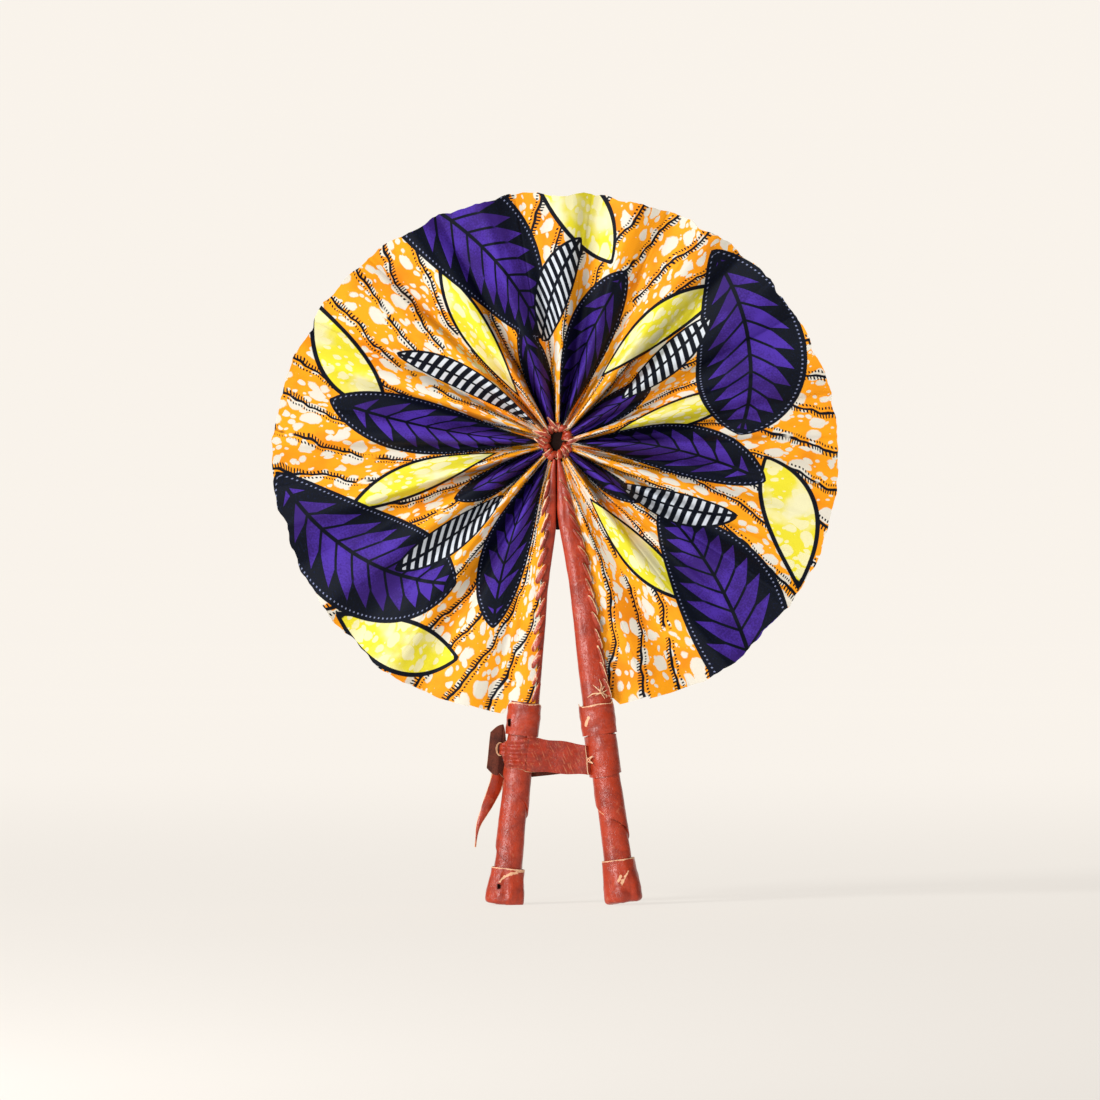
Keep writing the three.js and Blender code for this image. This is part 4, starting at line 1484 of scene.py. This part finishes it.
@dataclass
class Hub:
    """The hub: a ring whipped with a flat thong, and the leather patch that closes its eye from behind,
    near-black as painted shade.
    """

    finishes: Finishes
    height: float
    ring_radius: float = 6.5
    ring_half: float = 1.25
    oval: tuple[float, float] = (1.02, 1.14)  # the ring is drawn up taller than it is wide
    drawn_up: float = 0.9
    turns: int = 13
    turn_steps: int = 26
    thong_width: float = 2.3
    thong: float = 0.7
    patch_radius: float = 8.6
    patch_length: float = 46.0
    patch_end: float = 3.0
    patch_front: float = 2.95
    patch_leather: float = 0.9
    patch_shift: float = 0.75  # how far the tongue's end lies to the right
    patch_rims: tuple[float, float] = (0.9, 1.2)
    patch_swell: float = 0.25
    ends: tuple[tuple[float, float, float], ...] = (  # the thong's cut ends: angle, slant and length
        (98.0, 30.0, 3.6), (150.0, 18.0, 4.6), (192.0, -38.0, 3.4), (356.0, 22.0, 4.4),
    )

    def build(self) -> None:
        """Makes the hub's pieces."""
        self.build_ring()
        self.build_whipping()
        for k, end in enumerate(self.ends):
            self.build_end(k, *end)
        self.build_patch()

    def stretch(self, points: Array) -> Array:
        """Draws points of a round ring at the origin up to the oval eye's shape and place."""
        return points * [self.oval[0], 1, self.oval[1]] + [0, 0, self.height + self.drawn_up]

    def build_end(self, k: int, angle: float, slant: float, length: float) -> None:
        """A cut end of the thong that pokes out of the whipping.

        Args:
            k: Its number.
            angle: Where it leaves the ring, from the right.
            slant: How far it turns off straight out.
            length: How far it pokes out.
        """
        t = np.linspace(0, 1, 18)
        a, turned = math.radians(angle), math.radians(angle + slant)
        start = np.array([math.cos(a), 0, math.sin(a)]) * self.ring_radius
        away = np.array([math.cos(turned), 0, math.sin(turned)])
        centres = start + np.outer(t * (self.ring_half + 1.0 + length), away)
        centres[:, 1] = -self.ring_half - 1.5 + 0.9 * t**2 - 0.5 * np.sin(math.pi * t)
        out = FRONT + np.outer(ripple(t, (0.5, 3, k)), np.cross(away, [0, 1, 0]))
        width = self.thong_width * np.clip(1.1 - t**1.6, 0.12, 0.9)
        piece = lay_ribbon(f"hub_thong_end_{k}", self.stretch(centres), out, width, crown=0.3, columns=6)
        clad(piece, self.thong, self.finishes.thong, even=False)
        hand_over(piece, "left_handle", "thong", smooth=55)

    def build_ring(self) -> None:
        """The bound ring itself, dark between the turns of the thong."""
        radii = {"major_radius": self.ring_radius * MM, "minor_radius": self.ring_half * MM}
        segments = {"major_segments": 84, "minor_segments": 16}
        bpy.ops.mesh.primitive_torus_add(**radii, **segments, rotation=UPRIGHT)
        piece = started("hub_ring_leather")
        settle(piece, piece.matrix_world.copy())
        set_points(piece, self.stretch(points_of(piece) / MM) * MM)
        pucker(piece, 0.35, (1.6, 1.6, 1.6), 4.0)
        dress(piece, self.finishes.leather)
        hand_over(piece, "left_handle", "leather", "hub_ring")

    def build_whipping(self) -> None:
        """One flat thong wound round and round the ring, each turn slanting."""
        t = np.linspace(0, 1, self.turns * self.turn_steps + 1)
        angle = 2 * math.pi * t + ripple(t, (0.07, 10 * math.pi, 1), (0.05, 14 * math.pi, 0))
        turn = 2 * math.pi * self.turns * t
        radial = np.stack([np.cos(angle), 0 * angle, np.sin(angle)], axis=1)
        out = radial * np.cos(turn)[:, None] + np.outer(np.sin(turn), FRONT)
        odd = np.sin(np.floor(turn / 2 / math.pi) * 5.3 + 1)
        loose = 0.6 * odd * np.sin(turn / 2) ** 2 + 0.25 * np.sin(angle * 5) - 0.1 * np.sin(angle) ** 2
        reach = self.ring_half + 0.8 + loose
        centres = self.stretch(radial * self.ring_radius + out * reach[:, None])
        width = self.thong_width * (1.05 + 0.3 * np.cos(turn)) + 0.7 * np.sin(angle * 9 + 2 * odd)
        piece = lay_ribbon("hub_whipping_thong", centres, out, width, crown=0.5, edges=(0.55, 0.0))
        clad(piece, self.thong, self.finishes.thong, puckers=((0.75, (1.9, 1.9, 1.9), 6.0),), even=False)
        hand_over(piece, "left_handle", "thong", "hub_lacing", smooth=55)

    def build_patch(self) -> None:
        """A patch of leather, round behind the eye, with a tongue down behind the sticks; near-black as
        painted shade seen through the eye and between the sticks.
        """
        radius = self.patch_radius * MM
        bpy.ops.mesh.primitive_circle_add(vertices=64, radius=radius, fill_type="NGON", rotation=UPRIGHT)
        piece = started("hub_patch_leather")
        settle(piece, piece.matrix_world.copy())
        points = points_of(piece) / MM
        below = np.clip(-points[:, 2] / self.patch_radius, 0, 1)
        across = np.abs(points[:, 0] / self.patch_radius) ** (1 - 0.7 * below)
        half = mixed(self.patch_radius, self.patch_end, below**0.6)
        points[:, 0] = np.sign(np.round(points[:, 0], 4)) * across * half + self.patch_shift * below
        points[:, 2] -= below * (self.patch_length - self.patch_radius)
        points[:, 1] = self.patch_front
        points[:, 2] += self.height
        set_points(piece, points * MM)
        with editing(piece):
            pull_out(in_metres(0, self.patch_leather, 0))
            for rim in self.patch_rims:
                bpy.ops.mesh.inset(thickness=rim * MM, depth=0)
            bpy.ops.transform.translate(value=in_metres(0, self.patch_swell, 0))
            turn_out()
        work(piece, "BEVEL", width=0.25 * MM, segments=2, limit_method="ANGLE")
        # the patch is near-black, as painted shade seen through the eye and between the sticks
        dress(piece, self.finishes.painted_shade_flesh)
        hand_over(piece, "left_handle", "leather_flesh_side", "hub_patch")


@dataclass
class Strap:
    """The strap: sewn round the right handle, over the left one, through a slit in its own tab."""

    finishes: Finishes
    left: Stick
    right: Stick
    drop: float = 167.0
    width: float = 17.5
    leather: float = 1.3
    thin_leather: float = 0.9
    tail_leather: float = 1.1
    stand_off: float = 1.1  # of the band and the keeper from the left handle
    left_rise: float = 2.2  # the band's left end stands higher than its middle
    slit_rise: float = 4.8  # and its slit higher still
    anchor_top: float = 156.5
    anchor_length: float = 21.5
    anchor_turn: tuple[float, float] = (195.0, 400.0)  # where the winding starts, and its length
    slit_out: float = 3.6
    tab_reach: float = 9.5
    tab_width: float = 27.0
    tab_end: float = 19.0
    keeper_width: float = 16.0
    keeper_sag: float = 2.5
    tail_path: Line = (  # across and down from the slit's middle
        (0.4, -3.0), (0.2, 8.0), (-1.6, 19.0), (-6.4, 30.4), (-11.0, 41.2), (-12.5, 52.2),
    )
    tail_width: float = 7.4
    tail_depth: float = 6.0
    stitch_rises: tuple[float, float] = (2.2, -1.7)
    bunched: float = 0.5  # share of its length that the strap keeps when the fan is folded

    def build(self) -> None:
        """Makes the strap's pieces."""
        self.build_anchor()
        self.build_band()
        self.build_keeper()
        self.build_slit()
        self.build_tail()
        for k, rise in enumerate(self.stitch_rises):
            self.build_stitch(k, rise)

    def level(self) -> float:
        """Gives the height of the band's middle."""
        return self.left.hub_height - self.drop

    def slit(self) -> float:
        """Gives the slit's place across."""
        return self.beside(self.left, 0, 0)[0] - self.slit_out

    def beside(self, stick: Stick, by: float, degrees: float) -> tuple[float, float]:
        """Finds a point beside a handle at the strap's height.

        Args:
            stick: The stick.
            by: How far outside its grip.
            degrees: 0 at the handle's outer edge, 90 at its front.

        Returns:
            Its x and y.
        """
        u, y = stick.skin(np.array([degrees]), np.array([by]), stick.grip_half, stick.grip_depth)
        return float(stick.side * (u[0] + self.drop * stick.slope())), float(y[0])

    def lean_at(self, x: Array) -> Array:
        """Finds the lean that an upright line takes between the two handles.

        Args:
            x: Places across.

        Returns:
            Steps across for each step up.
        """
        lx, rx = self.beside(self.left, 0, 180)[0], self.beside(self.right, 0, 180)[0]
        share = np.clip((x - lx) / (rx - lx), 0, 1)
        return mixed(*[s.slope() * -s.side for s in (self.left, self.right)], share)

    def lay_strip(self, name: str, path: Sequence[Sequence[float]], columns: int, rows: int) -> Piece:
        """Lays a strip that stands on edge along a path seen from above.

        Args:
            name: The piece's name.
            path: Points of x, y, half width and drop of the strip's middle.
            columns: Cells across the strip.
            rows: Cells along it.

        Returns:
            The strip, one layer thick.
        """
        piece, a, b = lay_grid(name, columns, rows)
        x, y, half, drop = spline(path, rows + 1)[np.rint(b * rows).astype(int)].T
        high = (1 - 2 * a) * half
        points = [x + self.lean_at(x) * (high - drop), y, self.level() - drop + high]
        set_points(piece, np.stack(points, axis=1) * MM)
        return piece

    def finish(self, piece: Piece, slot: str, *nodes: str) -> None:
        """Hands a loose piece over to the right handle, which it rides on, and gives it its own mesh.

        Args:
            piece: The piece.
            slot: The record's material slot, passed on and not used.
            nodes: The nodes that it stands for.
        """
        hand_over(piece, "right_handle", slot, *nodes)
        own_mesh(piece)

    def build_anchor(self) -> None:
        """The end of the strap, wound once and a bit round the right handle and lapped."""
        stick = self.right
        start, turn = self.anchor_turn
        piece, a, b = lay_grid("strap_anchor_leather", 22, 96)
        by = 0.55 + self.leather * blend_in(0.80, 0.93, b)
        u, y = stick.skin(start + turn * b, by, stick.grip_half, stick.grip_depth)
        s = self.anchor_top + a * self.anchor_length + ripple(b, (0.5, 11, 0)) * (2 * a - 1)
        set_points(piece, stick.upright(u, y, s) * MM)
        clad(piece, self.thin_leather, *self.finishes.hide, puckers=((0.35, (6, 6, 4), 31.0),))
        settle(piece, stick.place())
        hand_over(piece, "right_handle", "leather", "strap_anchor")

    def build_band(self) -> None:
        """The band across the front, which wraps the left handle and narrows to its slit."""
        wrap = self.stand_off
        half = self.width / 2
        slit = self.slit()
        rise = -self.left_rise
        on_handle = ((128, 1.03), (110, 0.96), (90, 0.90), (70, 0.87), (50, 0.85))
        path = [
            (*self.beside(self.right, 2.6, 155), half * 0.88, 0.9),
            (*self.beside(self.right, 2.2, 172), half * 0.92, 0.9),
            *[(*self.beside(self.left, wrap, d), half * share, rise) for d, share in on_handle],
            (*self.beside(self.left, wrap, 32), half * 0.80, rise - 0.5),
            (*self.beside(self.left, wrap, 14), half * 0.60, rise - 1.4),
            (slit + 1.2, -1.4, 3.1, -self.slit_rise),
            (slit, 1.4, 3.0, -self.slit_rise),
            (slit - 0.6, 4.0, 2.9, -self.slit_rise),
        ]
        piece = self.lay_strip("strap_band_leather", path, 28, 120)
        points = points_of(piece)
        off = points[:, 0] - self.beside(self.left, wrap, 90)[0] * MM
        drawn = blend_in(0.016, -0.004, off)
        high = (points[:, 2] - self.level() * MM) / MM
        points[:, 1] -= drawn * 0.55 * np.sin(high * 1.5 + 40 * off) * MM
        points[:, 2] += np.sin(points[:, 0] / MM * 0.35) * 0.04 * high * MM
        set_points(piece, points)
        puckers = ((0.6, (7, 7, 22), 41.0), (0.35, (2.4, 2.4, 7), 43.0))
        clad(piece, self.leather, self.finishes.creased, self.finishes.edge, puckers=puckers)
        self.finish(piece, "leather", "strap_band")

    def build_keeper(self) -> None:
        """The run behind the left handle and the tab that it ends in, flesh side out, with the slit."""
        half, tab = self.keeper_width / 2, self.tab_width / 2
        edge, slit = self.beside(self.left, 0, 0)[0], self.slit()
        behind = (-120, -90, -60, -35)
        rise = -self.slit_rise + 0.5
        path = [
            (*self.beside(self.right, 2.6, 205), half * 0.82, 0.2),
            (*self.beside(self.right, 2.2, 188), half * 0.82, 0.2),
            *[(*self.beside(self.left, self.stand_off, d), half, self.keeper_sag) for d in behind],
            (edge - 2.6, 2.4, tab * 0.92, rise),
            (slit, 1.4, tab, rise),
            (slit - 2.8, 0.9, tab * 0.92, rise),
            (edge - self.tab_reach, 0.3, self.tab_end / 2, rise),
        ]
        piece = self.lay_strip("strap_tab_leather", path, 26, 96)
        puckers = ((0.5, (6, 6, 9), 51.0),)
        clad(piece, self.leather, self.finishes.flesh, self.finishes.edge, puckers=puckers)
        self.finish(piece, "leather_flesh_side", "strap_keeper")

    def build_slit(self) -> None:
        """The raw lip of the tab's slit, pushed open by the band."""
        turn = np.linspace(math.radians(75), math.radians(285), 40)
        x = self.slit() + 0.8 + 2.0 * np.cos(turn)
        z = self.level() + self.slit_rise + 3.4 * np.sin(turn)
        centres = np.stack([x, -0.6 - 0.5 * np.sin(turn) ** 2, z], axis=1)
        out = np.stack([-0.5 * np.cos(turn), -1 + 0 * turn, -0.5 * np.sin(turn)], axis=1)
        width = 0.65 * np.sin((turn - turn[0]) / 3.67 * math.pi) + 0.25
        piece = lay_ribbon("strap_slit_lip", centres, out, width, columns=4)
        clad(piece, 0.5, self.finishes.edge)
        self.finish(piece, "leather")

    def build_stitch(self, k: int, rise: float) -> None:
        """One leg of the crossed stitch that sews the band to the anchor.

        Args:
            k: Its number.
            rise: How far it climbs on its way round the handle.
        """
        t = np.linspace(0, 1, 20)
        places = [self.beside(self.right, 2.1 + 0.5 * math.sin(math.pi * s), 165 - 40 * s) for s in t]
        x, y = np.array(places).T
        centres = np.stack([x, y, self.level() - 0.9 + rise * (t - 0.5) * 2], axis=1)
        width = 0.5 + 0.7 * np.sin(math.pi * t)
        piece = lay_ribbon(f"strap_stitch_{k}", centres, (-0.4, -1.0, 0.0), width, columns=4)
        clad(piece, 0.5, self.finishes.thong, even=False)
        hand_over(piece, "right_handle", "thong")

    def build_tail(self) -> None:
        """The strap's free end, which hangs behind the tab and tapers to a curled tip."""
        t = np.linspace(0, 1, 60)
        across, down = spline(self.tail_path, len(t)).T
        y = self.tail_depth + ripple(t, (0.6, 5, 0))
        centres = np.stack([self.slit() + across, y, self.level() + self.slit_rise - down], axis=1)
        out = np.stack([ripple(t, (0.35, 4, 0)), -1 + 0 * t, 0 * t], axis=1)
        taper = mixed(0.88, 1, blend_in(0, 0.3, t)) * mixed(1, 0.13, blend_in(0.4, 0.95, t))
        piece = lay_ribbon("strap_tail_leather", centres, out, self.tail_width * taper, crown=0.5, columns=10)
        clad(piece, self.tail_leather, *self.finishes.hide, puckers=((0.4, (4, 4, 9), 61.0),))
        self.finish(piece, "leather", "strap_tail")


@dataclass
class Studio:
    """Pale table, soft light and the camera at the photograph's angle."""

    surround: str = "#FEF8F0"
    table: tuple[str, str, str] = ("#8A8783", "#888581", "#63615E")  # its tooth's two tones, and its back
    ambient: float = 0.24
    table_glow: tuple[float, float] = (0.58, 0.90)  # in front of the fan and behind it
    glow_from: tuple[float, float] = (-2.2, 2.6)  # metres in depth over which the glow comes up
    table_half: tuple[float, float] = (9.0, 5.5)  # metres
    sweep_steps: int = 12
    sweep_step: float = 0.26  # metres
    frame_width: float = 583.0  # what the picture's width takes in at the fan
    look_at: tuple[float, float] = (-3.4, 133.3)
    distance: float = 4000.0
    floor_level: float = -54.6
    sensor: float = 36.0

    def build(self) -> None:
        """Sets the studio up."""
        self.build_table()
        self.build_surround()
        self.build_lights()
        self.build_camera()

    def build_table(self) -> None:
        """A light table: one pale sheet, lit from below, that sweeps up far behind the fan."""
        bpy.ops.mesh.primitive_plane_add(size=2.0, location=(0, -0.5, self.floor_level * MM))
        table = started("light_table")
        bpy.ops.transform.resize(value=(*self.table_half, 1.0))
        settle(table, table.matrix_world.copy())
        back = max(v.co.y for v in table.data.vertices)
        with editing(table, "DESELECT"):
            bpy.ops.object.mode_set(mode="OBJECT")
            for edge in table.data.edges:
                edge.select = all(table.data.vertices[v].co.y > back - 0.01 for v in edge.vertices)
            bpy.ops.object.mode_set(mode="EDIT")
            bend = math.pi / 2 / self.sweep_steps
            for turn in range(self.sweep_steps):
                rise = bend * (turn + 0.5)
                pull_out((0, self.sweep_step * math.cos(rise), self.sweep_step * math.sin(rise)))
            pull_out((0, 0, 5.0))
            turn_out()
        dress(table, self.acrylic())

    def acrylic(self) -> Material:
        """Builds the table's material: matt acrylic sheet, which glows evenly and shows no reflections.

        Returns:
            The material.
        """
        b = Board("back_lit_matt_acrylic")
        place = b.add("TexCoord", out=OBJECT_PLACE)
        light, dark, back = self.table
        tooth = b.add("TexNoise", ("Vector", place), ("Scale", 900.0), ("Detail", 2.0))
        depth = b.add("SeparateXYZ", place, out=1)
        colour = b.add("Mix", tooth, light, dark)
        sockets = {
            "Base Color": b.add("Mix", b.add("MapRange", depth, *self.glow_from), colour, back),
            "Roughness": 0.95,
            "Normal": b.add("Bump", ("Strength", 0.05), ("Distance", 0.0001), ("Height", tooth)),
            "Specular IOR Level": 0.0,
            "Emission Color": self.surround,
            "Emission Strength": b.add("MapRange", depth, *self.glow_from, *self.table_glow),
        }
        b.add("OutputMaterial", b.add("BsdfPrincipled", *sockets.items()))
        return b.material

    def build_surround(self) -> None:
        """An even, faint light from all round."""
        world = bpy.context.scene.world or bpy.data.worlds.new("studio_surround")
        bpy.context.scene.world = world
        world.use_nodes = True
        sky = world.node_tree.nodes["Background"]
        sky.inputs["Color"].default_value = linear(self.surround)
        sky.inputs["Strength"].default_value = self.ambient

    def build_lights(self) -> None:
        """A soft key from the upper left, and a tall strip that shines along the handles."""
        for name, place, size, power in (
            ("key_softbox", (-1.55, -1.25, 1.05), (0.5, 0.5), 43.0),
            ("strip_softbox", (-0.62, -1.65, 0.05), (0.14, 0.9), 19.0),
        ):
            bpy.ops.object.light_add(type="AREA", location=place)
            light = started(name)
            light.data.shape = "RECTANGLE"
            light.data.size, light.data.size_y = size
            light.data.energy = power
            light.rotation_euler = (Vector((0, 0, 0.13)) - Vector(place)).to_track_quat("-Z", "Y").to_euler()

    def build_camera(self) -> None:
        """A long lens, level and straight in front of the fan."""
        x, z = self.look_at
        bpy.ops.object.camera_add(location=in_metres(x, -self.distance, z), rotation=UPRIGHT)
        camera = bpy.context.object
        camera.data.sensor_width = self.sensor
        camera.data.lens = self.sensor * self.distance / self.frame_width
        camera.data.clip_end = 100.0
        bpy.context.scene.camera = camera
        bpy.context.scene.view_settings.view_transform = "Standard"


def both_sticks(finishes: Finishes, height: float) -> tuple[Stick, Stick]:
    """Describes the two sticks with their own wear.

    Args:
        finishes: The fan's materials.
        height: The hub's height.

    Returns:
        The left and the right stick.
    """
    left = Stick(Side.LEFT, 6.0, 14.0, 177.0, finishes, height, cap_top=226.7)
    knife = ((7.4, -227.2), (3.6, -228.2), (0.2, -229.2), (-2.8, -230.8), (-5.0, -233.0), (-5.8, -235.2))
    # The second cap mark and the collar mark are holes painted dark as painted shade; the seam mark is
    # painted shade along the lapped edge.
    left.cap_marks = (Mark(knife, 1.25), Mark(((-5.8, -236.0), (-5.7, -237.0)), 1.9, -1.3))
    left.collar_marks = (Mark(((-9.2, -148.6), (-9.0, -151.0)), 1.5, -1.3),)
    left.seam_marks = ((-0.06, 0.24, -0.6),)
    lacing = {"lace_width": 1.9, "lace_arch": 0.75, "lace_slant": 2.6}
    right = Stick(Side.RIGHT, 7.9, 15.5, 191.5, finishes, height, **lacing)
    rubbed = (((2.0, -236.0), (4.0, -233.0), (6.5, -230.0)), ((0.5, -234.5), (2.5, -231.5)))
    right.cap_marks = tuple(Mark(line, 1.25) for line in rubbed)
    right.collar_marks = (Mark(((-5.0, -150.5), (-4.4, -148.6), (-3.0, -146.4)), 1.3),)
    # The first seam mark is pale wear; the second is painted shade along the lapped edge.
    right.seam_marks = ((-0.06, 0.19, 0.62), (0.22, 0.42, -0.6))
    right.knot = (
        ((1.5, 129.5), (4.2, 132.6), (6.0, 134.6), (8.8, 136.6)),
        ((8.6, 130.8), (6.8, 131.6), (4.4, 134.4), (1.8, 135.2)),
        ((5.2, 127.0), (5.9, 130.5), (5.0, 133.4), (6.8, 137.6)),
        ((-2.2, 135.8), (1.0, 134.2), (5.0, 134.4), (9.2, 133.0)),
    )
    return left, right


def clear_bench() -> None:
    """Removes what Blender starts with."""
    for thing in list(bpy.data.objects):
        bpy.data.objects.remove(thing)


def main() -> None:
    """Builds the fan over its frame, and the studio round it."""
    logging.basicConfig(level=logging.INFO, format="%(name)s: %(message)s")
    clear_bench()
    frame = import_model()
    finishes = Finishes()
    height = frame["joints"][0]["pos_m"][2] / MM
    left, right = both_sticks(finishes, height)
    for stick in (left, right):
        stick.build()
        dress(frame["nodes"][f"{stick.name}_stick"], finishes.wood)
    Hub(finishes, height).build()
    Leaf(frame, finishes, left, right).build()
    Strap(finishes, left, right).build()
    Studio().build()


if __name__ == "__main__":
    main()
